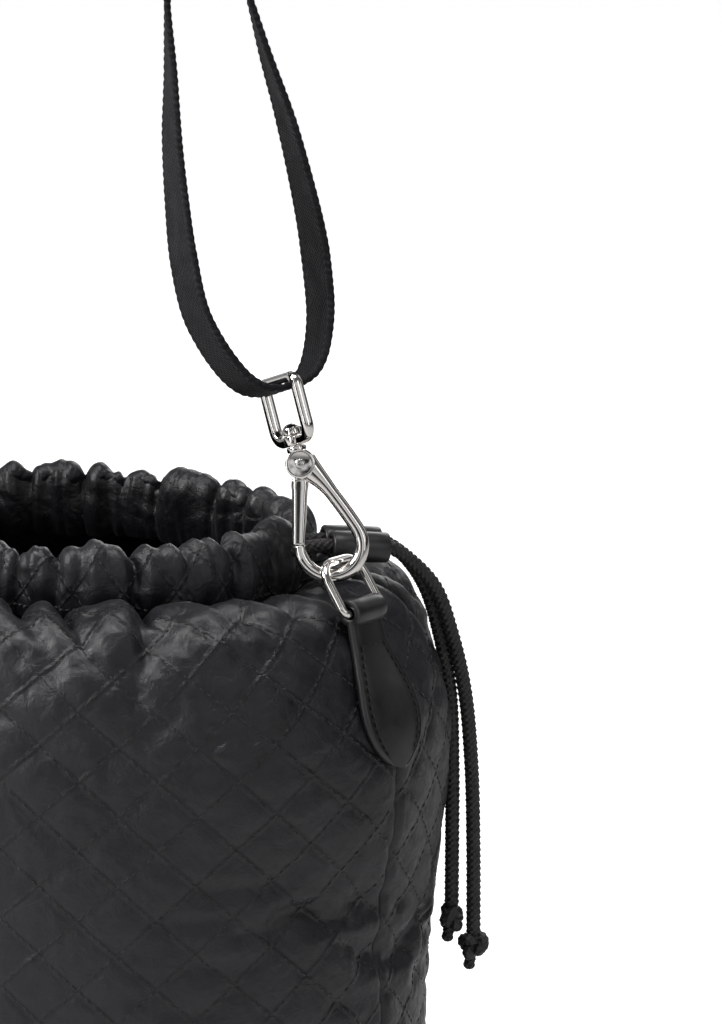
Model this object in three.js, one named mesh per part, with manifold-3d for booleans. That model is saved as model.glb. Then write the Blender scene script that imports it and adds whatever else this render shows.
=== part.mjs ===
// Quilted drawstring bucket bag with a clip-on webbing strap.
// Units are millimetres, +Z is up, and the origin is the centre of the base's underside.
// +X is the side seam that carries the cord lock, and -Y is the front.
import * as THREE from 'three';
import { mergeVertices } from 'three/addons/utils/BufferGeometryUtils.js';
import Module from 'manifold-3d';

const wasm = await Module();
wasm.setup();

// ---- Driving dimensions ----

const GAP = 0.3; // clearance between pieces that touch on the real bag
const OVAL = 1 / 1.3; // depth of the oval section over its width

const SHELL_T = 3.5; // quilted cloth with its wadding
const BASE_T = 4;
const BOARD_T = 1.8;
const LINING_T = 0.8;
const BAG_SEGMENTS = 44;

// Half width of the quilted shell against height, from the base edge to the gathered shoulder.
const SHELL_PROFILE = [
  [116, 4.3], [120.5, 8], [124, 20], [127, 50], [128.6, 92], [129.6, 134], [131, 175], [133, 203],
  [133.5, 219], [132.3, 230], [129, 240], [122, 255], [117, 263.5], [110, 267.4], [99, 268], [86.4, 265.2],
];

const CASING_OUT = 86.2; // half width of the drawstring casing
const CASING_IN = 77.8;
const CASING_Z0 = 265.6;
const CASING_Z1 = 285;
const CHANNEL_HALF = [3.1, 5]; // half width and half height of the cord's tunnel
const CHANNEL_Z = 278.5;
const CASING_SEGMENTS = 40;

const CORD_R = 2.1;
const LOCK_R = 4.85; // each of the two leather barrels
const LOCK_BORE_R = 2.75;
const LOCK_LENGTH = 19;
const LOCK_CENTRE = new THREE.Vector3(100, 24.6, 280.9);
const LOCK_AXIS = new THREE.Vector3(0.61, 0.787, -0.09).normalize();

const TAB_T = 2.6;
const TAB_LOOP_WIDTH = 15;
const RING_WIRE_R = 1.5;
const RING_HALF_WIDTH = 9.6;
const RING_HEIGHT = 17.5; // from the bar's centre to the top wire's centre
const RING_LEAN = THREE.MathUtils.degToRad(34);
const RING_BAR = new THREE.Vector3(121, 0, 266.4);

// The snap hook lies in its own plane: s to the spine side, t along the swivel axis, from the gate's pivot.
const HOOK_PIVOT = new THREE.Vector3(98.7, -2.7, 310.9);
const HOOK_LEAN = THREE.MathUtils.degToRad(18);
const HOOK_TURN = THREE.MathUtils.degToRad(-54); // about the swivel axis, from the side that faces outward
const HOOK_WIRE_R = 2.2;
const HOOK_ARC_R = 9.8;
const HOOK_ARC_CENTRE = [2.9, -27.1];
const BOSS_R = 4.7;
const BOSS_T = 5.6;
const COLLAR_R = 3.1;
const GATE_LENGTH = 25.3;
const GATE_ANGLE = THREE.MathUtils.degToRad(-105.7);
const GATE_SLOT_T = 2.9;
const GATE_TONGUE_R = 3.6;
const RIVET_R = 1.7;
const STUD_R = 1.9;
const EYE_HALF_WIDTH = 13;
const EYE_T0 = 6.1;
const EYE_T1 = 28.7;
const EYE_WIRE = 3;
const EYE_HEADING = THREE.MathUtils.degToRad(61); // heading of the strap face at the eye

const WEB_WIDTH = 20;
const WEB_T = 1.8;
const SLIDER_HALF = [14, 12.4]; // half width and half height
const SLIDER_Z = 548;
const SLIDER_BAR_INSET = 1.05; // the bar's place inside the strap's middle line
const SLIDER_RUN_OFFSET = 5; // the through run's place outside the bar
const STRAP_LEAN = 0.215; // inward travel of the strap for each unit of height

// ---- Materials ----

function finish(color, roughness, metalness = 0) {
  return new THREE.MeshStandardMaterial({ color, roughness, metalness });
}

const quilt = () => finish(0x0d0d11, 0.42);
const satin = () => finish(0x0b0b0f, 0.34);
const cordCloth = () => finish(0x0c0c10, 0.75);
const webbingCloth = () => finish(0x17181d, 0.8);
const leather = () => finish(0x0f0f10, 0.5);
const boardMaterial = () => finish(0x2b2a28, 0.8);
const nickel = () => finish(0xd8d6d2, 0.16, 1);

// ---- Helpers ----

const bag = new THREE.Group();

function addMesh(parent, name, geometry, material) {
  const mesh = new THREE.Mesh(geometry, material);
  mesh.name = name;
  parent.add(mesh);
  return mesh;
}

function toSolid(geometry) {
  const bare = geometry.clone();
  bare.deleteAttribute('normal');
  bare.deleteAttribute('uv');
  const merged = mergeVertices(bare, 1e-4);
  const index = [];
  const source = merged.index.array;
  for (let i = 0; i < source.length; i += 3) {
    const [a, b, c] = [source[i], source[i + 1], source[i + 2]];
    if (a !== b && b !== c && c !== a) index.push(a, b, c);
  }
  return new wasm.Manifold(new wasm.Mesh({
    numProp: 3,
    vertProperties: merged.attributes.position.array,
    triVerts: new Uint32Array(index),
  }));
}

function toGeometry(solid) {
  const mesh = solid.getMesh();
  const geometry = new THREE.BufferGeometry();
  geometry.setAttribute('position', new THREE.BufferAttribute(new Float32Array(mesh.vertProperties), 3));
  geometry.setIndex(new THREE.BufferAttribute(new Uint32Array(mesh.triVerts), 1));
  geometry.computeVertexNormals();
  return geometry;
}

function join(first, ...others) {
  return toGeometry(others.reduce((solid, next) => solid.add(toSolid(next)), toSolid(first)));
}

function cut(first, ...tools) {
  return toGeometry(tools.reduce((solid, tool) => solid.subtract(toSolid(tool)), toSolid(first)));
}

function box(width, depth, height, x = 0, y = 0, z = 0) {
  return new THREE.BoxGeometry(width, depth, height).translate(x, y, z);
}

function cylinderZ(radius, height, sides = 20) {
  return new THREE.CylinderGeometry(radius, radius, height, sides).rotateX(Math.PI / 2);
}

// A lathe about +Z, flattened to the bag's oval.
function ovalLathe(profile, segments) {
  const points = profile.map(([a, z]) => new THREE.Vector2(a, z));
  return new THREE.LatheGeometry(points, segments).rotateX(Math.PI / 2).scale(1, OVAL, 1);
}

// The profile moved sideways by a distance, to its left when walking along it.
function offsetProfile(profile, distance) {
  return profile.map(([a, z], i) => {
    const before = profile[Math.max(i - 1, 0)];
    const after = profile[Math.min(i + 1, profile.length - 1)];
    const length = Math.hypot(after[0] - before[0], after[1] - before[1]);
    const da = (after[0] - before[0]) / length;
    const dz = (after[1] - before[1]) / length;
    return [a - dz * distance, z + da * distance];
  });
}

// A closed loop of points becomes a lathe ring; the last point repeats the first.
function closed(profile) {
  return [...profile, profile[0]];
}

// A tube along a curve, closed by flat ends.
function tube(points, radius, sides, steps) {
  const section = new THREE.Shape();
  section.absarc(0, 0, radius, 0, Math.PI * 2);
  const extrudePath = new THREE.CatmullRomCurve3(points, false, 'centripetal');
  const options = { steps, curveSegments: sides / 2, extrudePath, bevelEnabled: false };
  return new THREE.ExtrudeGeometry(section, options);
}

// A flat plate cut from an outline in XY, centred on z = 0.
function plate(outline, thickness, curveSegments = 8) {
  const options = { depth: thickness, curveSegments, bevelEnabled: false };
  return new THREE.ExtrudeGeometry(outline, options).translate(0, 0, -thickness / 2);
}

// A solid through a row of sections, each a list of corners in the same order: one long side, then the other.
function sectionLoft(sections) {
  const positions = [];
  const index = [];
  const corners = sections[0].length;
  sections.forEach((section) => section.forEach((p) => positions.push(p.x, p.y, p.z)));
  for (let i = 0; i + 1 < sections.length; i += 1) {
    for (let j = 0; j < corners; j += 1) {
      const a = i * corners + j;
      const b = i * corners + ((j + 1) % corners);
      index.push(a, b, b + corners, a, b + corners, a + corners);
    }
  }
  const last = (sections.length - 1) * corners;
  const half = corners / 2;
  for (let j = 0; j + 1 < half; j += 1) {
    const back = corners - 1 - j;
    index.push(j, back, back - 1, j, back - 1, j + 1);
    index.push(last + j, last + back - 1, last + back, last + j, last + j + 1, last + back - 1);
  }
  const geometry = new THREE.BufferGeometry();
  geometry.setAttribute('position', new THREE.Float32BufferAttribute(positions, 3));
  geometry.setIndex(index);
  geometry.computeVertexNormals();
  return geometry;
}

// ---- Quilted shell, base and lining ----

// The half of a ring on one side of the side seams: -1 is the front and +1 is the back.
function halfOf(ring, side) {
  const reach = 400;
  return cut(ring, box(reach, reach, reach * 2, 0, (-side * (reach - GAP)) / 2, 0));
}

function makeShell() {
  const inner = offsetProfile(SHELL_PROFILE, SHELL_T).reverse();
  const ring = ovalLathe(closed([...SHELL_PROFILE, ...inner]), BAG_SEGMENTS);
  addMesh(bag, 'shell_front', halfOf(ring, -1), quilt());
  addMesh(bag, 'shell_back', halfOf(ring, 1), quilt());
}

function makeBase() {
  const edge = SHELL_PROFILE[0][0] - 0.5;
  const panel = [[0, 0], [edge - 5, 0], [edge - 1, 1.4], [edge, BASE_T], [0, BASE_T]];
  addMesh(bag, 'base_panel', ovalLathe(panel, BAG_SEGMENTS), quilt());
  const z0 = BASE_T + GAP;
  const z1 = z0 + BOARD_T;
  const width = edge - SHELL_T - 5;
  const board = [[0, z0], [width, z0], [width, z1], [0, z1]];
  addMesh(bag, 'base_board', ovalLathe(board, BAG_SEGMENTS), boardMaterial());
}

function makeLining() {
  const z0 = BASE_T + GAP + BOARD_T + GAP;
  const wall = SHELL_PROFILE.slice(2, -1);
  const outer = offsetProfile(wall, SHELL_T + 0.5);
  const inner = offsetProfile(wall, SHELL_T + 0.5 + LINING_T).reverse();
  const corner = SHELL_PROFILE[0][0] - 7;
  const profile = [[0, z0], [corner, z0], ...outer, ...inner, [corner, z0 + LINING_T], [0, z0 + LINING_T]];
  addMesh(bag, 'lining', ovalLathe(profile, 30), satin());
}

// ---- Drawstring casing ----

function makeCasing() {
  const bevel = 2.2;
  const outline = [
    [CASING_IN + bevel, CASING_Z0], [CASING_OUT - 1, CASING_Z0], [CASING_OUT, CASING_Z0 + 3],
    [CASING_OUT, CASING_Z1 - bevel], [CASING_OUT - bevel, CASING_Z1], [CASING_IN + bevel, CASING_Z1],
    [CASING_IN, CASING_Z1 - bevel], [CASING_IN, CASING_Z0 + bevel],
  ];
  const middle = (CASING_OUT + CASING_IN) / 2;
  const [half, halfHeight] = CHANNEL_HALF;
  const tunnel = [
    [middle - half, CHANNEL_Z - halfHeight], [middle + half, CHANNEL_Z - halfHeight],
    [middle + half, CHANNEL_Z + halfHeight], [middle - half, CHANNEL_Z + halfHeight],
  ];
  const ring = cut(
    ovalLathe(closed(outline), CASING_SEGMENTS),
    ovalLathe(closed(tunnel), CASING_SEGMENTS),
  );
  const exit = box(10, 17, CHANNEL_HALF[1] * 2, middle + 5, 9.4, CHANNEL_Z);
  addMesh(bag, 'casing_front', halfOf(ring, -1), quilt());
  addMesh(bag, 'casing_back', cut(halfOf(ring, 1), exit), quilt());
}

// ---- Drawcord, lock and knots ----

const lockSide = new THREE.Vector3(0, 0, 1).cross(LOCK_AXIS).normalize();

// A point on a barrel's centre line; side is -1 for the outer barrel and +1 for the inner one.
function barrelPoint(side, along) {
  return LOCK_CENTRE.clone().addScaledVector(lockSide, side * LOCK_R).addScaledVector(LOCK_AXIS, along);
}

// The free run of each cord end: out of the casing, through its barrel, and down to its knot.
const TAILS = [
  {
    name: 'front',
    side: -1,
    start: [[85, 4.4, 279.6], [89.4, 6.2, 280.6]],
    hang: [[112.6, 37, 275.2], [117.3, 44.4, 265.5], [120.2, 49.6, 250], [122.6, 53.8, 230],
      [124.2, 55.4, 205], [124.8, 55.8, 178], [124.9, 55.9, 149.6]],
  },
  {
    name: 'back',
    side: 1,
    start: [[82.9, 14.2, 279.6], [85, 15.2, 280.8]],
    hang: [[106.8, 41.4, 275.4], [112.3, 45.6, 265.4], [115.7, 49, 250], [118.2, 51.6, 230],
      [118.9, 52.2, 205], [118.9, 52.2, 182], [118.8, 52.2, 158.8]],
  },
];
const KNOT_R = 4.4;
const KNOT_HEIGHT = 9.6;

function makeDrawcord() {
  const middle = (CASING_OUT + CASING_IN) / 2;
  const points = [];
  const count = 44;
  const from = THREE.MathUtils.degToRad(15);
  const to = THREE.MathUtils.degToRad(361);
  for (let i = 0; i <= count; i += 1) {
    const angle = from + ((to - from) * i) / count;
    const rise = i === count || i === 0 ? 0.6 : 0;
    const x = middle * Math.cos(angle);
    const y = middle * OVAL * Math.sin(angle);
    points.push(new THREE.Vector3(x, y, CHANNEL_Z + rise));
  }
  addMesh(bag, 'drawcord_loop', tube(points, CORD_R, 8, count), cordCloth());
}

function makeTails() {
  const reach = LOCK_LENGTH / 2;
  for (const tail of TAILS) {
    const barrel = [-reach - 1.5, 0, reach + 1].map((along) => barrelPoint(tail.side, along));
    const asVector = (p) => new THREE.Vector3(...p);
    const points = [...tail.start.map(asVector), ...barrel, ...tail.hang.map(asVector)];
    addMesh(bag, `cord_tail_${tail.name}`, tube(points, CORD_R, 8, 34), cordCloth());
    const end = points[points.length - 1];
    const knot = [[0, 0], [2.6, 0.5], [KNOT_R, 3], [KNOT_R, 6.6], [2.6, 9.1], [0, KNOT_HEIGHT]];
    const profile = knot.map(([r, z]) => new THREE.Vector2(r, z));
    const ball = new THREE.LatheGeometry(profile, 12).rotateX(Math.PI / 2);
    ball.translate(end.x, end.y, end.z - GAP - KNOT_HEIGHT);
    addMesh(bag, `cord_knot_${tail.name}`, ball, cordCloth());
  }
}

function makeLock() {
  const waist = THREE.MathUtils.degToRad(24);
  const outline = new THREE.Shape();
  outline.absarc(-LOCK_R, 0, LOCK_R, waist, Math.PI * 2 - waist);
  outline.absarc(LOCK_R, 0, LOCK_R, Math.PI + waist, Math.PI * 3 - waist);
  for (const x of [-LOCK_R, LOCK_R]) {
    const bore = new THREE.Path();
    bore.absarc(x, 0, LOCK_BORE_R, 0, Math.PI * 2, true);
    outline.holes.push(bore);
  }
  const up = LOCK_AXIS.clone().cross(lockSide);
  const place = new THREE.Matrix4().makeBasis(lockSide, up, LOCK_AXIS).setPosition(LOCK_CENTRE);
  addMesh(bag, 'cord_lock', plate(outline, LOCK_LENGTH, 10).applyMatrix4(place), leather());
}

// ---- Leather tabs and D-rings ----

// Half width of the tab at each distance below the loop.
const TAB_HALF_WIDTHS = [
  [0, 7.5], [9, 8.3], [18, 11], [27, 13.4], [33, 13.7], [39, 12], [43.5, 8.6], [46.5, 4.8], [48, 1.6],
];
const TAB_LIFT = 0.7; // clearance of the tab from the shell
const TAB_BOW_R = 95; // the radius that the tab is bent to across its width
const RING_CLEARANCE = 0.4; // between the ring's bar and the tab's loop

// The line down the tab's middle, along the shell's side seam.
function tabPath() {
  const side = SHELL_PROFILE.filter(([, z]) => z > 200 && z < 266).reverse();
  const points = [[119.8, 263.4], ...side.filter(([, z]) => z < 256)];
  return new THREE.CatmullRomCurve3(points.map(([x, z]) => new THREE.Vector3(x, 0, z)), false, 'centripetal');
}

function makeTab() {
  const path = tabPath();
  const total = path.getLength();
  const sections = TAB_HALF_WIDTHS.map(([down, half]) => {
    const u = Math.min(down / total, 1);
    const centre = path.getPointAt(u);
    const tangent = path.getTangentAt(u);
    const out = new THREE.Vector3(-tangent.z, 0, tangent.x);
    const across = [-1, -0.5, 0, 0.5, 1].map((f) => f * half);
    const bow = (y) => (y * y) / (2 * TAB_BOW_R);
    const at = (y, lift) => centre.clone().addScaledVector(out, lift - bow(y)).setY(y);
    return [...across.map((y) => at(y, TAB_LIFT + TAB_T)), ...across.reverse().map((y) => at(y, TAB_LIFT))];
  });
  const leaf = sectionLoft(sections.reverse());
  const inner = RING_WIRE_R + RING_CLEARANCE;
  const ringSection = new THREE.Shape();
  ringSection.absarc(0, 0, inner + TAB_T - 0.2, 0, Math.PI * 2);
  const hole = new THREE.Path();
  hole.absarc(0, 0, inner, 0, Math.PI * 2, true);
  ringSection.holes.push(hole);
  const loop = plate(ringSection, TAB_LOOP_WIDTH, 9).rotateX(Math.PI / 2);
  loop.translate(RING_BAR.x, 0, RING_BAR.z);
  return join(leaf, loop);
}

function makeRing() {
  const corner = 6;
  const half = RING_HALF_WIDTH;
  const top = RING_HEIGHT;
  const points = [];
  const arc = (cx, cz, from, to, steps) => {
    for (let i = 0; i <= steps; i += 1) {
      const angle = THREE.MathUtils.degToRad(from + ((to - from) * i) / steps);
      points.push(new THREE.Vector3(0, cx + corner * Math.cos(angle), cz + corner * Math.sin(angle)));
    }
  };
  points.push(new THREE.Vector3(0, half, 1.2));
  points.push(new THREE.Vector3(0, half, 6));
  arc(half - corner, top - corner, 0, 90, 5);
  arc(-half + corner, top - corner, 90, 180, 5);
  points.push(new THREE.Vector3(0, -half, 6));
  points.push(new THREE.Vector3(0, -half, 1.2));
  const bow = tube(points, RING_WIRE_R, 8, 26);
  const bar = cylinderZ(RING_WIRE_R, half * 2 + RING_WIRE_R * 2, 8).rotateX(Math.PI / 2);
  return join(bow, bar).rotateY(-RING_LEAN).translate(RING_BAR.x, 0, RING_BAR.z);
}

// ---- Snap hook ----

function arcPoints(centre, radius, from, to, steps) {
  const points = [];
  for (let i = 0; i <= steps; i += 1) {
    const angle = THREE.MathUtils.degToRad(from + ((to - from) * i) / steps);
    const x = centre[0] + radius * Math.cos(angle);
    const y = centre[1] + radius * Math.sin(angle);
    points.push(new THREE.Vector3(x, y, 0));
  }
  return points;
}

function makeHookBody() {
  const bend = arcPoints(HOOK_ARC_CENTRE, HOOK_ARC_R, 172, 375, 12);
  const spine = [new THREE.Vector3(8.6, -14.5, 0), new THREE.Vector3(3.2, -1.5, 0)];
  const wire = tube([...bend, ...spine], HOOK_WIRE_R, 8, 26);
  const boss = cylinderZ(BOSS_R, BOSS_T);
  const collar = new THREE.CylinderGeometry(COLLAR_R, COLLAR_R, 2, 16).translate(0, 4.7, 0);
  const reach = BOSS_R * 1.7;
  const slotFrom = THREE.MathUtils.degToRad(-130);
  const slotTo = THREE.MathUtils.degToRad(-52);
  const slot = new THREE.Shape();
  slot.moveTo(0, 0);
  slot.lineTo(reach * Math.cos(slotFrom), reach * Math.sin(slotFrom));
  slot.absarc(0, 0, reach, slotFrom, slotTo);
  slot.closePath();
  return cut(
    join(wire, boss, collar),
    plate(slot, GATE_SLOT_T),
    cylinderZ(GATE_TONGUE_R + 0.35, GATE_SLOT_T),
    cylinderZ(RIVET_R + GAP, BOSS_T * 2, 12),
  );
}

function makeGate() {
  const tongue = new THREE.Shape();
  tongue.absarc(0, 0, GATE_TONGUE_R, 0, Math.PI * 2);
  const bar = new THREE.Shape();
  bar.moveTo(5.4, -2.3);
  bar.lineTo(GATE_LENGTH, -1.7);
  bar.lineTo(GATE_LENGTH, 1.7);
  bar.lineTo(5.4, 2.3);
  bar.closePath();
  const blade = join(
    plate(tongue, 2.3, 12),
    box(6, 3, 2.3, 4, 0, 0),
    plate(bar, 3.8),
  );
  const pocket = cylinderZ(2.95, 2, 16).translate(0, 0, 1.3);
  const solid = cut(blade, cylinderZ(RIVET_R + GAP, 8, 12), pocket);
  return solid.rotateZ(GATE_ANGLE);
}

function makeGateSpring() {
  const ring = [[2.05, 0.65], [2.65, 0.65], [2.65, 1.15], [2.05, 1.15]];
  const points = closed(ring).map(([r, z]) => new THREE.Vector2(r, z));
  return new THREE.LatheGeometry(points, 14).rotateX(Math.PI / 2);
}

function makeStud() {
  const points = [[0, 5.98], [STUD_R, 5.98], [STUD_R, 9.4], [3, 9.4], [3, 11.6], [1.8, 12.7], [0, 12.7]];
  return new THREE.LatheGeometry(points.map(([r, t]) => new THREE.Vector2(r, t)), 14);
}

function makeEye() {
  const half = EYE_HALF_WIDTH + EYE_WIRE / 2;
  const round = 4;
  const outline = new THREE.Shape();
  outline.moveTo(-half + round, EYE_T0);
  outline.lineTo(half - round, EYE_T0);
  outline.absarc(half - round, EYE_T0 + round, round, -Math.PI / 2, 0);
  outline.absarc(half - round, EYE_T1 - round, round, 0, Math.PI / 2);
  outline.absarc(-half + round, EYE_T1 - round, round, Math.PI / 2, Math.PI);
  outline.absarc(-half + round, EYE_T0 + round, round, Math.PI, Math.PI * 1.5);
  const inside = new THREE.Path();
  const hx = half - EYE_WIRE;
  const t0 = EYE_T0 + EYE_WIRE;
  const t1 = EYE_T1 - EYE_WIRE;
  inside.moveTo(-hx, t0 + 1.4);
  inside.lineTo(-hx, t1 - 1.4);
  inside.lineTo(-hx + 1.4, t1);
  inside.lineTo(hx - 1.4, t1);
  inside.lineTo(hx, t1 - 1.4);
  inside.lineTo(hx, t0 + 1.4);
  inside.lineTo(hx - 1.4, t0);
  inside.lineTo(-hx + 1.4, t0);
  outline.holes.push(inside);
  const bore = new THREE.CylinderGeometry(STUD_R + GAP, STUD_R + GAP, 8, 14).translate(0, EYE_T0, 0);
  return cut(plate(outline, EYE_WIRE, 3), bore);
}

// From the hook's own axes (s, t, n) to the bag's, turned about the swivel axis.
function hookFrame(turn) {
  const along = new THREE.Vector3(-Math.sin(HOOK_LEAN), 0, Math.cos(HOOK_LEAN));
  const facing = new THREE.Vector3(Math.cos(HOOK_LEAN), 0, Math.sin(HOOK_LEAN)).applyAxisAngle(along, turn);
  const spine = along.clone().cross(facing);
  return new THREE.Matrix4().makeBasis(spine, along, facing).setPosition(HOOK_PIVOT);
}

// The same piece on the other side of the bag, with its faces still pointing out.
function mirrored(geometry) {
  const copy = toGeometry(toSolid(geometry)).scale(-1, 1, 1);
  const index = copy.index.array;
  for (let i = 0; i < index.length; i += 3) {
    [index[i], index[i + 1]] = [index[i + 1], index[i]];
  }
  copy.computeVertexNormals();
  return copy;
}

function makeSide(side) {
  const hook = hookFrame(HOOK_TURN);
  const eye = hookFrame(EYE_HEADING);
  const pieces = [
    ['tab', makeTab(), leather],
    ['ring', makeRing(), nickel],
    ['hook_body', makeHookBody().applyMatrix4(hook), nickel],
    ['hook_gate', makeGate().applyMatrix4(hook), nickel],
    ['gate_rivet', cylinderZ(RIVET_R, BOSS_T + 0.3, 12).applyMatrix4(hook), nickel],
    ['gate_spring', makeGateSpring().applyMatrix4(hook), nickel],
    ['swivel_stud', makeStud().applyMatrix4(hook), nickel],
    ['swivel_eye', makeEye().applyMatrix4(eye), nickel],
  ];
  for (const [name, geometry, material] of pieces) {
    addMesh(bag, `${name}_${side}`, side === 'left' ? mirrored(geometry) : geometry, material());
  }
}

// ---- Webbing strap and slider ----

// Heading of the strap's face at each height: square to the eye below, and across the bag above.
function faceHeading(z) {
  const table = [[375, 61], [415, 52], [454, 38], [500, 15], [520, 0]];
  const upper = table.findIndex(([height]) => height >= z);
  if (upper < 0) return 0;
  if (upper === 0) return EYE_HEADING;
  const [z0, h0] = table[upper - 1];
  const [z1, h1] = table[upper];
  return THREE.MathUtils.degToRad(h0 + ((h1 - h0) * (z - z0)) / (z1 - z0));
}

// The strap's own directions at a height: along it, across its width, and out of its face.
function strapAxes(z, side) {
  const blend = THREE.MathUtils.smoothstep(z, 345, 385);
  const lean = THREE.MathUtils.lerp(HOOK_LEAN, Math.atan(STRAP_LEAN), blend) * side;
  const heading = faceHeading(z) * side;
  const inward = new THREE.Vector3(Math.cos(lean), 0, Math.sin(lean));
  const along = new THREE.Vector3(-Math.sin(lean), 0, Math.cos(lean));
  const back = new THREE.Vector3(0, 1, 0);
  const across = inward.clone().multiplyScalar(-Math.sin(heading)).addScaledVector(back, Math.cos(heading));
  const face = inward.multiplyScalar(Math.cos(heading)).addScaledVector(back, Math.sin(heading));
  return { along, across, face };
}

// A point of a run: side is +1 on the right, and offset is measured along the strap's face.
function runPoint(z, offset, side = 1) {
  const x = 85.5 - STRAP_LEAN * (z - 343.5);
  const y = -2.7 * THREE.MathUtils.clamp((520 - z) / 180, 0, 1);
  return new THREE.Vector3(x * side, y, z).addScaledVector(strapAxes(z, side).face, offset);
}

// A point near an eye's top bar, by its offset along the face and its distance above the bar.
function eyePoint(offset, up, side = 1) {
  const { along, face } = strapAxes(HOOK_PIVOT.z, side);
  const bar = new THREE.Vector3(HOOK_PIVOT.x * side, HOOK_PIVOT.y, HOOK_PIVOT.z);
  return bar.addScaledVector(along, EYE_T1 - EYE_WIRE / 2 + up).addScaledVector(face, offset);
}

// A point near the slider's bar, by its offset toward the outside and its distance above the bar.
function sliderPoint(offset, up) {
  const { along, face } = strapAxes(SLIDER_Z, 1);
  return runPoint(SLIDER_Z, -SLIDER_BAR_INSET).addScaledVector(along, up).addScaledVector(face, offset);
}

function ribbon(points) {
  const curve = new THREE.CatmullRomCurve3(points, false, 'centripetal');
  const steps = (points.length - 1) * 2;
  const sections = [];
  for (let i = steps; i >= 0; i -= 1) {
    const centre = curve.getPoint(i / steps);
    const { across } = strapAxes(centre.z, Math.sign(centre.x));
    const normal = curve.getTangent(i / steps).cross(across).normalize();
    const corner = (a, b) => centre.clone()
      .addScaledVector(across, (a * WEB_WIDTH) / 2)
      .addScaledVector(normal, (b * WEB_T) / 2);
    sections.push([corner(-1, -1), corner(-1, 1), corner(1, 1), corner(1, -1)]);
  }
  return sectionLoft(sections);
}

// One side of the loop through the right eye, up from its lowest point; sign is +1 for the outer run.
function loopRun(sign) {
  const bend = [[0.2, -3], [4.6, -2.6], [9, -0.9], [13, 3], [16.4, 9], [19.6, 17.5], [21.6, 27]];
  const runs = [[22.2, 378], [20.8, 395], [18.5, 415], [15.3, 434], [12.8, 454], [8.6, 484], [5.2, 507]];
  return [
    ...bend.map(([half, up]) => eyePoint(sign * half, up)),
    ...runs.map(([half, z]) => runPoint(z, sign * half)),
  ];
}

// The strap's whole length but for the loop's inner run.
function makeStrap() {
  const straight = [-24, 0, 26].map((up) => sliderPoint(SLIDER_RUN_OFFSET, up));
  const rise = [[33.4, 604], [27.6, 632], [20.2, 653], [10.6, 666.4]];
  const fall = rise.map(([x, z]) => [-x, z]).reverse();
  const arch = [...rise, [0, 670.5], ...fall].map(([x, z]) => new THREE.Vector3(x, 0, z));
  const down = [560, 520, 480, 440, 400, 372].map((z) => runPoint(z, 0, -1));
  const around = [[-1, 14], [-2.2, 6], [-3, 0.6], [-2.3, -2.2], [0, -3.2], [2.3, -2.2], [3, 0.8], [2.1, 6],
    [1.4, 14], [2.2, 34]].map(([offset, up]) => eyePoint(offset, up, -1));
  const points = [...loopRun(1), ...straight, ...arch, ...down, ...around];
  addMesh(bag, 'strap_webbing', ribbon(points), webbingCloth());
}

// The loop's inner run, ending in a fold round the slider's bar that is stitched to itself.
function makeReturn() {
  const fold = [
    [-2.8, -22], [-2.8, -10], [-2.8, 0], [-2, 2], [0, 2.8], [2, 2], [2.8, 0], [2.8, -10], [2.8, -26],
  ];
  const points = [...loopRun(-1), ...fold.map(([offset, up]) => sliderPoint(offset, up))];
  addMesh(bag, 'strap_return', ribbon(points), webbingCloth());
}

function makeSlider() {
  const group = new THREE.Group();
  group.position.copy(sliderPoint(0, 0));
  group.rotation.y = -Math.atan(STRAP_LEAN);
  bag.add(group);
  const [halfWidth, halfHeight] = SLIDER_HALF;
  const rail = 2.6;
  const depth = 10.4;
  const middle = 3.6;
  const barX = middle + depth / 2 - 1.1;
  const cheeks = [-1, 1].map((s) => box(depth, rail, halfHeight * 2, middle, s * (halfWidth - rail / 2), 0));
  const bars = [-1, 1].map((s) => box(2.2, halfWidth * 2 - 0.2, 3.2, barX, 0, s * (halfHeight - 1.6)));
  addMesh(group, 'slider_frame', join(...cheeks, ...bars), nickel());
  const pin = cylinderZ(1.5, (halfWidth - rail - GAP) * 2, 10).rotateX(Math.PI / 2);
  addMesh(group, 'slider_bar', pin, nickel());
}

makeShell();
makeBase();
makeLining();
makeCasing();
makeDrawcord();
makeTails();
makeLock();
makeSide('right');
makeSide('left');
makeStrap();
makeReturn();
makeSlider();

export default bag;
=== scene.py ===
"""Looks of the quilted drawstring bucket bag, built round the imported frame: cloth, cords, leather and nickel."""

import math

import bpy
import numpy as np
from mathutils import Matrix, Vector


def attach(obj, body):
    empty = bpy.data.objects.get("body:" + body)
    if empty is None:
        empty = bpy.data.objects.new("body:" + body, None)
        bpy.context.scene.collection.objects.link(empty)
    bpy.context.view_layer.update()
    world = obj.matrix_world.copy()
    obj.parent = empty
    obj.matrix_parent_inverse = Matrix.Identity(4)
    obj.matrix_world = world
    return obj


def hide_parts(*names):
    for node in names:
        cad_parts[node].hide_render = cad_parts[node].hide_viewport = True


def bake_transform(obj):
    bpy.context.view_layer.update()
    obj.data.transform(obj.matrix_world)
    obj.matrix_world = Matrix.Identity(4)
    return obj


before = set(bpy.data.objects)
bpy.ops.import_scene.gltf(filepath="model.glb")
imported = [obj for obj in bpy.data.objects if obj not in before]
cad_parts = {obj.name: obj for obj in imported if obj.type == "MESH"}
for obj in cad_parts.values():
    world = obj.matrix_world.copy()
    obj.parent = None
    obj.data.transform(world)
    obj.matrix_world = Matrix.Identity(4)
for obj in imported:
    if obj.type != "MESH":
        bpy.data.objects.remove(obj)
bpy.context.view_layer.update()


def mm(value):
    """Millimetres to metres, for a number, a point or a list of points."""
    return np.array(value, float) * 0.001 if isinstance(value, (list, tuple)) else value * 0.001


def run_along(line):
    """The distance along a line at each of its points."""
    return np.concatenate([[0], np.cumsum(np.linalg.norm(np.diff(line, axis=0), axis=1))])


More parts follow.
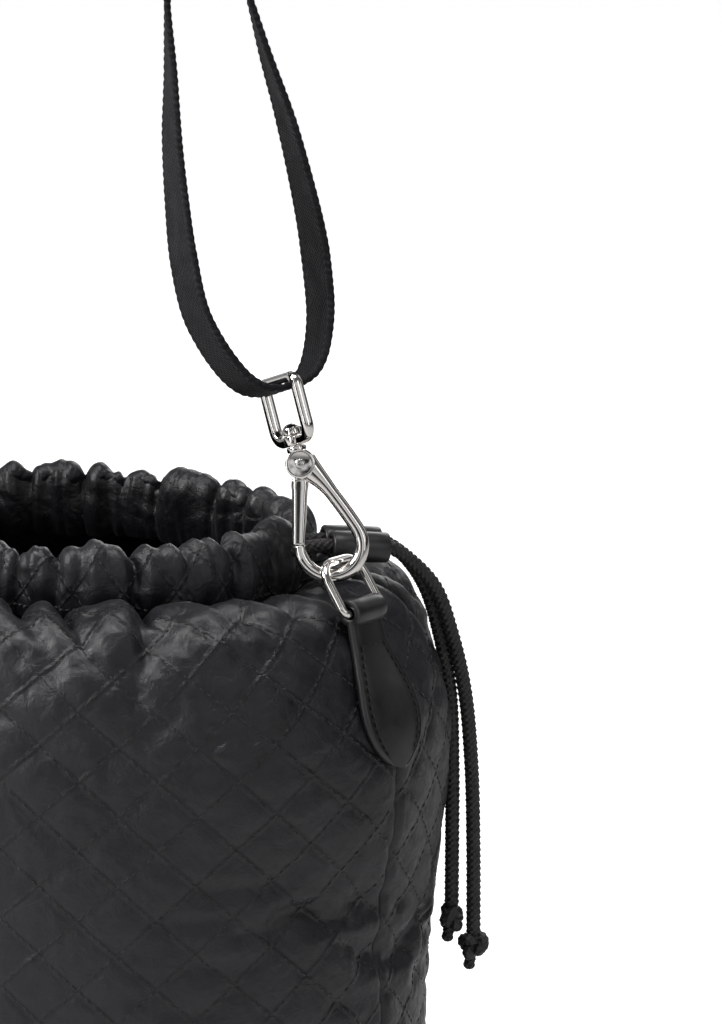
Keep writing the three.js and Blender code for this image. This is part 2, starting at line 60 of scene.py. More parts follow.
def read_off(at, run, values):
    """Rows of values at distances along a line whose points lie at the distances in run."""
    return np.stack([np.interp(at, run, values[:, k]) for k in range(values.shape[1])], axis=-1)


def paired(a, b):
    """Two values side by side in a last axis, over the shape that both reach."""
    return np.stack(np.broadcast_arrays(a, b), axis=-1)


# ---- Sizes, as in the CAD part ----

OVAL = 1 / 1.3
SHELL_PROFILE = mm([
    (116, 4.3), (120.5, 8), (124, 20), (127, 50), (128.6, 92), (129.6, 134), (131, 175), (133, 203),
    (133.5, 219), (132.3, 230), (129, 240), (122, 255), (117, 263.5), (110, 267.4), (99, 268), (86.4, 265.2),
])
CASING_MIDDLE = mm(82)
CHANNEL_Z = mm(278.5)
CORD_R = mm(2.1)
LOCK_R = mm(4.85)
LOCK_BORE_R = mm(2.75)
LOCK_LENGTH = mm(19)
LOCK_CENTRE = mm([100, 24.6, 280.9])
LOCK_AXIS = np.array([0.61, 0.787, -0.09]) / np.linalg.norm([0.61, 0.787, -0.09])
LOCK_SIDE = np.cross([0, 0, 1], LOCK_AXIS)
LOCK_SIDE /= np.linalg.norm(LOCK_SIDE)
LOCK_UP = np.cross(LOCK_AXIS, LOCK_SIDE)
TAB_T = mm(2.6)
RING_BAR = mm([121, 0, 266.4])
RING_WIRE_R = mm(1.5)
RING_LEAN = math.radians(34)
HOOK_PIVOT = mm([98.7, -2.7, 310.9])
HOOK_LEAN = math.radians(18)
HOOK_TURN = math.radians(-54)
EYE_HEADING = math.radians(61)
EYE_TOP_BAR = mm(27.2)
WEB_WIDTH = mm(20)
WEB_T = mm(1.8)
STRAP_LEAN = 0.215
SLIDER_Z = mm(548)

# ---- Sizes of the cloth ----

DIAMONDS_ROUND = 30
DIAMOND_HEIGHT = mm(22)
QUILT_SHIFT = 0.37
FOLDS_ROUND = 27
SEED = 20
HALVES = {"back": (0.0, 0.5), "front": (0.5, 1.0)}  # from one fraction round the bag to the other


def oval_angles():
    """The oval's arc fraction and perimeter over its angle, for a half width of 1."""
    angle = np.linspace(0, 2 * math.pi, 4001)
    points = np.stack([np.cos(angle), OVAL * np.sin(angle)], axis=1)
    run = run_along(points)
    return angle, run / run[-1], run[-1]


ANGLES, FRACTIONS, PERIMETER = oval_angles()
ROUND_LENGTH = PERIMETER * SHELL_PROFILE[:, 0].max()  # the flat cloth's length round the bag


# ---- Lines ----


def unit(v):
    return v / np.maximum(np.linalg.norm(v, axis=-1, keepdims=True), 1e-12)


def resample(line, step):
    """The same line with points an even step apart."""
    at = run_along(line)
    count = max(round(at[-1] / step), 2) + 1
    even = np.linspace(0, at[-1], count)
    return read_off(even, at, line)


def spline(points, step):
    """A centripetal Catmull-Rom line through the points, with points an even step apart."""
    p = np.array(points, float)
    ends = np.vstack([2 * p[0] - p[1], p, 2 * p[-1] - p[-2]])
    dense = []
    for four in zip(ends, ends[1:], ends[2:], ends[3:]):
        k = np.cumsum([0, *(math.sqrt(max(math.dist(a, b), 1e-9)) for a, b in zip(four, four[1:]))])
        t = np.linspace(k[1], k[2], 24, endpoint=False)[:, None]

        def mix(a, b, start, end):
            return ((end - t) * a + (t - start) * b) / (end - start)

        low = [mix(four[i], four[i + 1], k[i], k[i + 1]) for i in range(3)]
        high = [mix(low[i], low[i + 1], k[i], k[i + 2]) for i in range(2)]
        dense.append(mix(high[0], high[1], k[1], k[2]))
    return resample(np.vstack([*dense, p[-1:]]), step)


def arc(centre, radius, start, end, steps):
    """Points of an arc in a plane, from one angle to another in degrees."""
    angles = np.radians(np.linspace(start, end, steps + 1))
    return np.stack([centre[0] + radius * np.cos(angles), centre[1] + radius * np.sin(angles)], axis=1)


def rounded_frame(half, low, high, low_r, high_r, low_steps=8, high_steps=8):
    """Points of a frame's rounded corners in its plane, from the lower right one."""
    return np.array([
        *arc((half - low_r, low + low_r), low_r, -90, 0, low_steps),
        *arc((half - high_r, high - high_r), high_r, 0, 90, high_steps),
        *arc((-half + high_r, high - high_r), high_r, 90, 180, high_steps),
        *arc((-half + low_r, low + low_r), low_r, 180, 270, low_steps),
    ])


def joined_up(line, step):
    """A line joined to its own start, with points an even step apart and the start only once."""
    return resample(np.vstack([line, line[:1]]), step)[:-1]


# ---- Meshes: a patch is (points, lists of faces, cloth coordinates) ----


def grid(points, coords=None, around=False, closed=False, flip=False):
    """Faces over rows of points. around joins the ends of each row, and closed joins the last row to the first."""
    rows, columns = points.shape[:2]
    i = np.arange(rows if closed else rows - 1)[:, None]
    j = np.arange(columns if around else columns - 1)
    next_i, next_j = (i + 1) % rows, (j + 1) % columns
    quads = np.stack(
        [i * columns + j, i * columns + next_j, next_i * columns + next_j, next_i * columns + j], axis=-1
    ).reshape(-1, 4)
    if coords is None:
        coords = np.zeros((rows, columns, 2))
    return points.reshape(-1, 3), [quads[:, ::-1] if flip else quads], coords.reshape(-1, 2)


def pointed(patch, sides, tips):
    """A tube closed by a fan of triangles at each end. tips are the two fans' middles."""
    flat, faces, uv = patch
    j = np.arange(sides)
    k = (j + 1) % sides
    last = len(flat) - sides
    start = np.stack([np.full(sides, len(flat)), k, j], axis=1)
    finish = np.stack([np.full(sides, len(flat) + 1), last + j, last + k], axis=1)
    return np.vstack([flat, tips]), [*faces, start, finish], np.vstack([uv, uv[:1], uv[-1:]])


def capped(patch, sides, flip=False):
    """A tube closed by one flat face at each end."""
    flat, faces, uv = patch
    first = np.arange(sides)[None]
    last = first + len(flat) - sides
    return flat, [*faces, *([first, last[:, ::-1]] if flip else [first[:, ::-1], last])], uv


def transport(line, first):
    """The normal at each point of a line, turning no more than the line does."""
    tangents = unit(np.gradient(line, axis=0))
    normal = first - np.dot(first, tangents[0]) * tangents[0]
    normals = []
    for t in tangents:
        normal = normal - np.dot(normal, t) * t
        normal = normal / np.linalg.norm(normal)
        normals.append(normal)
    return tangents, np.array(normals)


ROUND_END = [(math.sin(a), math.cos(a)) for a in np.radians([15, 30, 45, 60, 75, 86])]
FLAT_END = [(0.06, 0.97), (0.1, 0.9), (0.1, 0.5)]


def sweep(line, half_a, half_b=None, sides=16, square=2.0, normal=None, fixed=False, closed=False, end=ROUND_END,
          relief=None):
    """A solid along a line. half_a and half_b are its half sizes along the normal and across it.

    square is 2 for a round section and more for a squarer one. fixed keeps the normal's own direction.
    relief(along, angle) is added to the section's size.
    """
    count = len(line)
    half_a = np.broadcast_to(half_a, (count,)).astype(float)
    half_b = half_a if half_b is None else np.broadcast_to(half_b, (count,)).astype(float)
    first = np.array([0.37, 0.21, 0.9]) if normal is None else np.array(normal, float)
    if closed:
        tangents = unit(np.roll(line, -1, axis=0) - np.roll(line, 1, axis=0))
        normals = unit(first - (tangents @ first)[:, None] * tangents)
    elif fixed:
        tangents = unit(np.gradient(line, axis=0))
        normals = unit(first - (tangents @ first)[:, None] * tangents)
    else:
        tangents, normals = transport(line, first)
    along = run_along(line)
    centres = line
    if not closed and end:
        size = min(half_a[0], half_b[0]), min(half_a[-1], half_b[-1])
        before = [(line[0] - tangents[0] * f * size[0], s) for f, s in reversed(end)]
        after = [(line[-1] + tangents[-1] * f * size[1], s) for f, s in end]
        n = len(end)
        centres = np.vstack([[c for c, _ in before], line, [c for c, _ in after]])
        scale = np.array([s for _, s in before] + [1] * count + [s for _, s in after])
        pad = (n, n)
        half_a = np.pad(half_a, pad, mode="edge") * scale
        half_b = np.pad(half_b, pad, mode="edge") * scale
        tangents = np.pad(tangents, (pad, (0, 0)), mode="edge")
        normals = np.pad(normals, (pad, (0, 0)), mode="edge")
        along = np.pad(along, pad, mode="edge")
    others = np.cross(tangents, normals)
    angle = np.linspace(0, 2 * math.pi, sides, endpoint=False)
    c = np.sign(np.cos(angle)) * np.abs(np.cos(angle)) ** (2 / square)
    s = np.sign(np.sin(angle)) * np.abs(np.sin(angle)) ** (2 / square)
    extra = 0 if relief is None else relief(along[:, None], angle[None])
    a = (half_a[:, None] + extra) * c
    b = (half_b[:, None] + extra) * s
    points = centres[:, None] + a[..., None] * normals[:, None] + b[..., None] * others[:, None]
    coords = paired(along[:, None], angle[None] * half_a.max())
    flat, faces, uv = grid(points, coords, around=True, closed=closed)
    if closed:
        return flat, faces, uv
    return pointed((flat, faces, uv), sides, centres[[0, -1]])


def lathe(profile, sides=32):
    """A solid of revolution about +Z from (radius, z) points, bottom to top, that starts and ends on the axis."""
    profile = np.array(profile, float)
    angle = np.linspace(0, 2 * math.pi, sides, endpoint=False)
    ring = np.stack([np.cos(angle), np.sin(angle)], axis=-1)
    middle = profile[1:-1]
    points = np.concatenate(
        [middle[:, None, :1] * ring[None], np.broadcast_to(middle[:, None, 1:], (len(middle), sides, 1))], axis=-1
    )
    return pointed(grid(points, around=True), sides, [[0, 0, profile[0, 1]], [0, 0, profile[-1, 1]]])


def ring_section(inner, outer, half, edge, swell):
    """The section of a ring with softened edges. swell lists the height and extra radius of points on its outside."""
    low = [
        (inner, -half + edge), (inner + edge * 0.3, -half + edge * 0.3), (inner + edge, -half),
        (outer - edge, -half), (outer - edge * 0.3, -half + edge * 0.3), (outer, -half + edge),
    ]
    return np.array([*low, *((outer + more, z) for z, more in swell), *((r, -z) for r, z in low[::-1])])


def revolved(section, sides):
    """Points of a (radius, height) section turned about +Z."""
    turn = np.radians(np.linspace(0, 360, sides + 1)[:-1])[:, None]
    radius, height = section.T
    return np.stack(np.broadcast_arrays(radius * np.cos(turn), radius * np.sin(turn), height), axis=-1)


def rounded(radius, low, high, edge):
    """The lathe profile of a disc with softened edges."""
    turn = np.radians([0, 30, 60, 90])
    bottom = [(radius - edge + edge * math.sin(a), low + edge - edge * math.cos(a)) for a in turn]
    top = [(radius - edge + edge * math.cos(a), high - edge + edge * math.sin(a)) for a in turn]
    return [(0, low), (radius * 0.5, low), *bottom, *top, (radius * 0.5, high), (0, high)]


def placed(patch, matrix, origin):
    """A patch moved from its own axes, the matrix's columns, to an origin."""
    points, faces, uv = patch
    return points @ np.array(matrix, float).T + origin, faces, uv


def mirror(patches):
    """The same patches on the other side of the bag."""
    return [(p * [-1, 1, 1], [f[:, ::-1] for f in faces], uv) for p, faces, uv in patches]


def add_object(name, data):
    made = bpy.data.objects.new(name, data)
    bpy.context.scene.collection.objects.link(made)
    return made


def build(name, patches, material, sharp=None):
    """One object made of patches. sharp is the angle in degrees past which an edge stays hard."""
    points = np.vstack([p for p, _, _ in patches])
    coords = np.vstack([c for _, _, c in patches])
    corners, totals, base = [], [], 0
    for p, faces, _ in patches:
        for f in faces:
            corners.append((f + base).ravel())
            totals.append(np.full(len(f), f.shape[1]))
        base += len(p)
    corners = np.concatenate(corners).astype(np.int32)
    totals = np.concatenate(totals)
    mesh = bpy.data.meshes.new(name)
    mesh.vertices.add(len(points))
    mesh.vertices.foreach_set("co", points.astype(np.float32).ravel())
    mesh.loops.add(len(corners))
    mesh.loops.foreach_set("vertex_index", corners)
    mesh.polygons.add(len(totals))
    mesh.polygons.foreach_set("loop_start", np.concatenate([[0], np.cumsum(totals)[:-1]]).astype(np.int32))
    mesh.polygons.foreach_set("use_smooth", np.ones(len(totals), bool))
    mesh.update(calc_edges=True)
    layer = mesh.uv_layers.new(name="cloth")
    layer.data.foreach_set("uv", coords[corners].astype(np.float32).ravel())
    if sharp:
        mesh.set_sharp_from_angle(angle=math.radians(sharp))
    mesh.materials.append(material)
    return add_object(name, mesh)


def finish_piece(piece, body, slot, *nodes):
    """Hangs a piece on its body and hides the CAD nodes that it stands for. The slot argument is not used."""
    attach(piece, body)
    if nodes:
        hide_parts(*nodes)
    return piece


# ---- Camera ----

CAMERA_AIM = mm([78.6, 57.3, 283.4])
CAMERA_AZIMUTH = math.radians(36)
CAMERA_ELEVATION = math.radians(11.3)
CAMERA_DISTANCE = 1.65
FOCAL_SHARE = 7.003  # focal length over the frame's width
SENSOR_WIDTH = 36


def stand(made, place, direction):
    """Puts a camera or lamp at a place, looking along a direction."""
    made.location = place
    made.rotation_mode = "QUATERNION"
    made.rotation_quaternion = direction.to_track_quat("-Z", "Y")


def make_camera():
    back = np.array([
        math.sin(CAMERA_AZIMUTH) * math.cos(CAMERA_ELEVATION),
        -math.cos(CAMERA_AZIMUTH) * math.cos(CAMERA_ELEVATION),
        math.sin(CAMERA_ELEVATION),
    ])
    data = bpy.data.cameras.new("camera")
    data.sensor_fit = "HORIZONTAL"
    data.sensor_width = SENSOR_WIDTH
    data.lens = FOCAL_SHARE * SENSOR_WIDTH
    camera = add_object("camera", data)
    stand(camera, Vector(CAMERA_AIM + CAMERA_DISTANCE * back), Vector(-back))
    bpy.context.scene.camera = camera


make_camera()


# ---- Materials ----


def node(material, kind, **settings):
    """A new shader node. A setting is an input's name with _ for each space, or one of the node's own properties."""
    made = material.node_tree.nodes.new(kind)
    for key, value in settings.items():
        socket = made.inputs.get(key.replace("_", " "))
        if socket is not None:
            socket.default_value = value
        else:
            setattr(made, key, value)
    return made


def link(material, source, target):
    material.node_tree.links.new(source, target)


def shader(name, **sockets):
    """A new material and its Principled shader."""
    made = bpy.data.materials.new(name)
    made.use_nodes = True
    bsdf = made.node_tree.nodes["Principled BSDF"]
    for key, value in sockets.items():
        bsdf.inputs[key.replace("_", " ")].default_value = value
    return made, bsdf


def varied(material, coordinate, scale, low, high, target, detail=4.0):
    """Noise between two greys or colours into a socket."""
    noise = node(material, "ShaderNodeTexNoise", Scale=scale, Detail=detail)
    link(material, coordinate, noise.inputs["Vector"])
    ramp = node(material, "ShaderNodeValToRGB")
    ramp.color_ramp.elements[0].position = 0.3
    ramp.color_ramp.elements[1].position = 0.7
    for element, value in zip(ramp.color_ramp.elements, (low, high)):
        element.color = (*value, 1) if isinstance(value, tuple) else (value, value, value, 1)
    link(material, noise.outputs["Fac"], ramp.inputs["Fac"])
    link(material, ramp.outputs["Color"], target)


def bumped(material, bsdf, height, distance, strength=1.0):
    """A bump from a height, on top of the bumps that the shader has."""
    bump = node(material, "ShaderNodeBump", Strength=strength, Distance=distance)
    link(material, height, bump.inputs["Height"])
    before = bsdf.inputs["Normal"].links
    if before:
        link(material, before[0].from_socket, bump.inputs["Normal"])
    link(material, bump.outputs["Normal"], bsdf.inputs["Normal"])


def object_place(material):
    return node(material, "ShaderNodeTexCoord").outputs["Object"]


def cloth_place(material):
    return node(material, "ShaderNodeUVMap", uv_map="cloth").outputs["UV"]


def wave(material, coordinate, pitch, turn=0.0, direction="X"):
    """Parallel ridges with a pitch in metres, turned in the cloth's plane."""
    mapping = node(material, "ShaderNodeMapping", Rotation=(0, 0, turn))
    link(material, coordinate, mapping.inputs["Vector"])
    made = node(material, "ShaderNodeTexWave", Scale=math.pi / 10 / pitch, bands_direction=direction)
    link(material, mapping.outputs["Vector"], made.inputs["Vector"])
    return made.outputs["Fac"]


def math_node(material, operation, a, b=0.0):
    """A maths node on two sockets or numbers."""
    made = node(material, "ShaderNodeMath", operation=operation)
    for socket, value in zip(made.inputs, (a, b)):
        if isinstance(value, (int, float)):
            socket.default_value = value
        else:
            link(material, value, socket)
    return made.outputs[0]


def near_quilting(material, cloth):
    """How near a point of the cloth is to a quilting line: 1 on the line, and 0 a few millimetres away."""
    nearest = []
    for way in (1, -1):
        dot = node(material, "ShaderNodeVectorMath", operation="DOT_PRODUCT")
        link(material, cloth, dot.inputs[0])
        dot.inputs[1].default_value = (DIAMONDS_ROUND / ROUND_LENGTH, way / DIAMOND_HEIGHT, 0)
        count = math_node(material, "ADD", dot.outputs["Value"], QUILT_SHIFT + 50)
        nearest.append(math_node(material, "PINGPONG", count, 0.5))
    away = math_node(material, "MINIMUM", *nearest)
    ramp = node(material, "ShaderNodeMapRange", interpolation_type="SMOOTHSTEP")
    for key, value in {"From Min": 0.0, "From Max": 0.08, "To Min": 1.0, "To Max": 0.0}.items():
        ramp.inputs[key].default_value = value
    link(material, away, ramp.inputs["Value"])
    return ramp.outputs["Result"]


def texture_bump(material, bsdf, place, distance, strength, kind="ShaderNodeTexNoise", output="Fac", **settings):
    """A bump from a procedural texture, which is noise unless another kind is named."""
    texture = node(material, kind, **settings)
    link(material, place, texture.inputs["Vector"])
    bumped(material, bsdf, texture.outputs[output], distance, strength)


def uneven(name, scales, dark, light, roughness, detail=4.0, woven=False, **sockets):
    """A material with noise in its colour and its roughness. scales are the two noises' own."""
    made, bsdf = shader(name, **sockets)
    place = object_place(made)
    cloth = cloth_place(made) if woven else None
    varied(made, place, scales[0], dark, light, bsdf.inputs["Base Color"])
    varied(made, place, scales[1], *roughness, bsdf.inputs["Roughness"], detail=detail)
    return made, bsdf, place, cloth


def make_nylon(name, dark, light, gloss, thread, quilted=False):
    """Satin nylon: fine floats of thread, uneven gloss and small dry creases; the quilted kind also gets painted shade
    along its quilting lines.
    """
    made, bsdf, place, cloth = uneven(
        name, (55, 420), dark, light, (gloss - 0.08, gloss + 0.1), detail=8, woven=True, IOR=1.45, Sheen_Weight=0.06,
        Sheen_Roughness=0.35, Anisotropic=0.3, Specular_IOR_Level=0.6)
    weave = math_node(made, "MULTIPLY", wave(made, cloth, thread), wave(made, cloth, thread * 1.6, direction="Y"))
    bumped(made, bsdf, weave, mm(0.05), 0.35)
    texture_bump(made, bsdf, place, mm(0.9), 0.55, Scale=190, Detail=6, Roughness=0.65, Distortion=0.9)
    texture_bump(made, bsdf, place, mm(3), 0.5, Scale=48, Detail=2, Distortion=0.9)
    if quilted:
        near = near_quilting(made, cloth)
        pucker = node(made, "ShaderNodeTexNoise", Scale=420, Detail=2, Distortion=0.6)
        link(made, place, pucker.inputs["Vector"])
        bumped(made, bsdf, math_node(made, "MULTIPLY", near, pucker.outputs["Fac"]), mm(0.7), 0.6)
        # Painted shade: the base colour is darkened along the quilting lines, where the stitched grooves would lie in
        # shadow.
        groove_painted_shade = node(made, "ShaderNodeMixRGB", blend_type="MULTIPLY")
        link(made, math_node(made, "MULTIPLY", near, 0.5), groove_painted_shade.inputs["Fac"])
        link(made, bsdf.inputs["Base Color"].links[0].from_socket, groove_painted_shade.inputs["Color1"])
        groove_painted_shade.inputs["Color2"].default_value = (0.15, 0.15, 0.15, 1)
        link(made, groove_painted_shade.outputs["Color"], bsdf.inputs["Base Color"])
    return made


def make_cord_cloth():
    made, bsdf, _, cloth = uneven(
        "braided_cord", (300, 200), (0.006, 0.0058, 0.006), (0.024, 0.021, 0.019), (0.36, 0.55), woven=True, IOR=1.45,
        Sheen_Weight=0.12, Sheen_Roughness=0.4, Specular_IOR_Level=0.6)
    bumped(made, bsdf, wave(made, cloth, mm(0.3), turn=0.8), mm(0.06), 0.5)
    return made


def make_webbing_cloth():
    """Twill: slanted ribs, with a finer rib along the strap."""
    made, bsdf, _, cloth = uneven(
        "webbing_twill", (220, 150), (0.0035, 0.0036, 0.0046), (0.011, 0.011, 0.0135), (0.55, 0.72), woven=True,
        IOR=1.45, Sheen_Weight=0.05, Sheen_Roughness=0.45, Specular_IOR_Level=0.22)
    bumped(made, bsdf, wave(made, cloth, mm(1.3), turn=0.95), mm(0.3), 0.8)
    bumped(made, bsdf, wave(made, cloth, mm(0.55), direction="Y"), mm(0.12), 0.5)
    return made


def make_leather():
    """Smooth leather with a fine grain and a little wear."""
    made, bsdf, place, _ = uneven(
        "smooth_leather", (120, 180), (0.005, 0.005, 0.0052), (0.012, 0.0115, 0.0115), (0.32, 0.5), IOR=1.5,
        Coat_Weight=0.25, Coat_Roughness=0.3, Specular_IOR_Level=0.5)
    texture_bump(made, bsdf, place, mm(0.08), 0.35, "ShaderNodeTexVoronoi", "Distance", Scale=1500,
                 feature="DISTANCE_TO_EDGE")
    texture_bump(made, bsdf, place, mm(0.12), 0.35, Scale=300, Detail=6)
    return made


def make_metal(name, dark, light, gloss):
    """Polished plating with hairline handling marks."""
    made, bsdf, place, _ = uneven(name, (90, 350), dark, light, (gloss - 0.03, gloss + 0.05), detail=8, Metallic=1.0)
    texture_bump(made, bsdf, place, mm(0.02), 0.12, Scale=900, Detail=3, Distortion=2)
    return made


def make_board():
    made, bsdf, place, _ = uneven(
        "fibre_board", (500, 300), (0.02, 0.019, 0.018), (0.05, 0.047, 0.043), (0.75, 0.9), IOR=1.45)
    texture_bump(made, bsdf, place, mm(0.2), 0.5, Scale=900, Detail=6)
    return made


QUILTED = make_nylon("quilted_nylon", (0.0035, 0.0034, 0.0052), (0.008, 0.0077, 0.0107), 0.4, mm(0.4), True)
SATIN = make_nylon("lining_satin", (0.003, 0.003, 0.004), (0.006, 0.006, 0.0075), 0.34, mm(0.35))
THREAD, *_ = uneven(
    "thread", (400, 300), (0.003, 0.003, 0.004), (0.009, 0.009, 0.011), (0.5, 0.65), IOR=1.45, Sheen_Weight=0.2,
    Specular_IOR_Level=0.5)
CORD_CLOTH = make_cord_cloth()
WEBBING_CLOTH = make_webbing_cloth()
LEATHER = make_leather()
NICKEL = make_metal("polished_nickel", (0.74, 0.71, 0.68), (0.84, 0.81, 0.78), 0.07)
STEEL = make_metal("rivet_steel", (0.55, 0.54, 0.53), (0.68, 0.67, 0.65), 0.22)
BOARD = make_board()


# ---- Drawcord tails, knots and lock ----

BRAID_STRANDS = 6
BRAID_PITCH = mm(12.6)


def braid(along, angle):
    """Relief of a round braid: strands wind both ways and pass over and under each other."""
    one = BRAID_STRANDS * angle / (2 * math.pi) + BRAID_STRANDS * along / BRAID_PITCH
    two = BRAID_STRANDS * angle / (2 * math.pi) - BRAID_STRANDS * along / BRAID_PITCH
    over = (np.floor(one) + np.floor(two)) % 2 > 0.5
    across = np.where(over, one % 1, two % 1)
    under = np.where(over, two % 1, one % 1)
    return mm(0.75) * (np.sin(math.pi * across) ** 0.7 * np.sin(math.pi * under) ** 0.35 - 0.6)


def barrel_point(side, along):
    """A point on a barrel's centre line: side is -1 for the outer barrel and +1 for the inner one."""
    return LOCK_CENTRE + side * LOCK_R * LOCK_SIDE + along * LOCK_AXIS


TAILS = {
    "front": {
        "side": -1,
        "turn": 0.6,
        "start": mm([(85, 4.4, 279.6), (89.4, 6.2, 280.6)]),
        "hang": mm([
            (112.6, 37, 275.2), (117.3, 44.4, 265.5), (120.2, 49.6, 250), (122.6, 53.8, 230),
            (124.2, 55.4, 205), (124.8, 55.8, 178), (124.9, 55.9, 149.6),
        ]),
    },
    "back": {
        "side": 1,
        "turn": 2.1,
        "start": mm([(82.9, 14.2, 279.6), (85, 15.2, 280.8)]),
        "hang": mm([
            (106.8, 41.4, 275.4), (112.3, 45.6, 265.4), (115.7, 49, 250), (118.2, 51.6, 230),
            (118.9, 52.2, 205), (118.9, 52.2, 182), (118.8, 52.2, 158.8),
        ]),
    },
}
KNOT_DROP = mm(4.6)  # from the tail's end to the knot's middle


def overhand(centre, turn):
    """An overhand knot pulled tight, with a short sealed end below it."""
    t = np.linspace(0, 2 * math.pi, 121)[:-1]
    t = np.concatenate([t[70:], t[:52]])
    t[50:] += 2 * math.pi
    radius = mm(1.14)
    x = radius * (np.sin(t) + 2 * np.sin(2 * t))
    z = radius * (np.cos(t) - 2 * np.cos(2 * t)) * 1.06
    y = -radius * 1.5 * np.sin(3 * t)
    c, s = math.cos(turn), math.sin(turn)
    return np.stack([c * x - s * y, s * x + c * y, z], axis=1) + centre


def make_tail(name, side, turn, start, hang):
    """One free end of the drawcord, from the casing through its barrel of the lock to the knot."""
    reach = LOCK_LENGTH / 2
    barrel = [barrel_point(side, along) for along in (-reach - mm(1.5), 0, reach + mm(1))]
    line = spline(np.vstack([start, barrel, hang]), mm(0.35))
    tube = sweep(line, CORD_R * 1.04, sides=40, relief=braid, end=FLAT_END)
    piece = build(f"drawcord_tail_{name}", [tube], CORD_CLOTH)
    finish_piece(piece, "bag", "braided_cord", f"cord_tail_{name}")
    end = line[-1]
    centre = end - [0, 0, KNOT_DROP]
    loops = overhand(centre, turn)
    stub = np.array([centre - mm([0.6, 0.2, 2.5]), centre - mm([1.2, 0.2, 5]), centre - mm([1.4, 0.3, 6.6])])
    neck = np.array([end + mm([0, 0, 0.6]), end - mm([0, 0, 1.6]), centre])
    parts = [
        sweep(resample(loops, mm(0.35)), mm(1.9), sides=28, relief=braid),
        sweep(spline(stub, mm(0.3)), mm(1.7), sides=28, relief=braid),
        sweep(spline(neck, mm(0.3)), mm(1.9), sides=28, relief=braid),
    ]
    knot = build(f"drawcord_knot_{name}", parts, CORD_CLOTH)
    finish_piece(knot, "bag", "braided_cord", f"cord_knot_{name}")


for tail_name, tail in TAILS.items():
    make_tail(tail_name, **tail)


# ---- The gathered cloth ----

draw = np.random.default_rng(SEED)
FOLD_AT = (np.arange(FOLDS_ROUND) + draw.uniform(-0.3, 0.3, FOLDS_ROUND)) / FOLDS_ROUND
FOLD_DEPTH = draw.uniform(0.55, 1.0, FOLDS_ROUND)
FOLD_REACH = mm(1) * draw.uniform(26, 78, FOLDS_ROUND)
FOLD_DRIFT = mm(1) * draw.normal(20, 12, FOLDS_ROUND)
SEAM_WIDTH = mm(1.3)
STITCH_LENGTH = mm(2.1)
STITCH_PITCH = mm(3.1)
THREAD_R = mm(0.24)
SEAM_MARGIN = 0.002  # fraction of the way round that the quilting stitches keep from a side seam
DIAMOND_SIDE = mm(33)  # a diamond's side, along which the casing's stitches are spaced


def fractions(count):
    """Even fractions round the bag, as a column."""
    return (np.arange(count) / count)[:, None]


def ring_point(t, half_width, z):
    """A point at a fraction round the bag, from +X by way of the back, on the oval of a half width."""
    angle = np.interp(t % 1, FRACTIONS, ANGLES)
    x, y, z = np.broadcast_arrays(half_width * np.cos(angle), half_width * OVAL * np.sin(angle), z)
    return np.stack([x, y, z], axis=-1)


def smooth_noise(t, s, cell_t, cell_s, seed):
    """Smooth noise from -1 to 1 that closes on itself round the bag. Cells are in metres."""
    across = max(round(ROUND_LENGTH / cell_t), 2)
    values = np.random.default_rng(seed).uniform(-1, 1, (across, 256))
    u, v = (t % 1) * across, s / cell_s + 8
    i, j = np.floor(u).astype(int), np.floor(v).astype(int)
    f, g = u - i, v - j
    f, g = f * f * (3 - 2 * f), g * g * (3 - 2 * g)
    low = values[i % across, j % 256] * (1 - f) + values[(i + 1) % across, j % 256] * f
    high = values[i % across, (j + 1) % 256] * (1 - f) + values[(i + 1) % across, (j + 1) % 256] * f
    return low * (1 - g) + high * g


def fullness(t):
    """How full the gathered cloth is: 1 on a puff, and less in each fold by the fold's depth."""
    edges = np.append(FOLD_AT, FOLD_AT[0] + 1)
    depths = np.append(FOLD_DEPTH, FOLD_DEPTH[0])
    t = (t - FOLD_AT[0]) % 1 + FOLD_AT[0]
    k = np.clip(np.searchsorted(edges, t, side="right") - 1, 0, FOLDS_ROUND - 1)
    x = (t - edges[k]) / (edges[k + 1] - edges[k])
    depth = depths[k] * (1 - x) + depths[k + 1] * x
    size = np.sqrt((edges[k + 1] - edges[k]) * FOLDS_ROUND)
    return 1 - depth + depth * size * np.sqrt(np.clip(4 * x * (1 - x), 0, 1))


def quilt_lines(t, s):
    """The two families of stitch lines: a line lies where either value is whole."""
    return tuple(DIAMONDS_ROUND * t + way * (s / DIAMOND_HEIGHT) + QUILT_SHIFT for way in (1, -1))


def puff(t, s, height):
    """The quilted relief: domes between the stitch lines, with puckers along the lines."""
    one, two = quilt_lines(t, s)
    dome = np.abs(np.sin(math.pi * one) * np.sin(math.pi * two))
    near = np.minimum(np.abs(one - np.round(one)), np.abs(two - np.round(two)))
    pucker = np.exp(-((near / 0.16) ** 2)) * smooth_noise(t, s, mm(3.2), mm(3.2), 5)
    crinkle = 1 - np.abs(smooth_noise(t, s, mm(11), mm(8), 6)) - 0.5
    return height * dome ** 0.42 + mm(0.34) * pucker + mm(0.45) * crinkle


def from_side_seam(t):
    """The distance round the bag from the nearer side seam."""
    return np.abs((t + 0.25) % 0.5 - 0.25) * ROUND_LENGTH


def seam_dip(t):
    """The two side seams pull the cloth in along a narrow line."""
    away = from_side_seam(t)
    return -mm(1.2) * np.exp(-((away / SEAM_WIDTH) ** 2))


def surface_normals(points):
    """Normals of a grid of points that closes on itself along its first axis."""
    along = np.roll(points, -1, axis=0) - np.roll(points, 1, axis=0)
    up = np.gradient(points, axis=1)
    return unit(np.cross(along, up))


def cubic_weights(f):
    return (
        ((-f + 2) * f - 1) * f / 2,
        ((3 * f - 5) * f * f + 2) / 2,
        ((-3 * f + 4) * f + 1) * f / 2,
        ((f - 1) * f * f) / 2,
    )


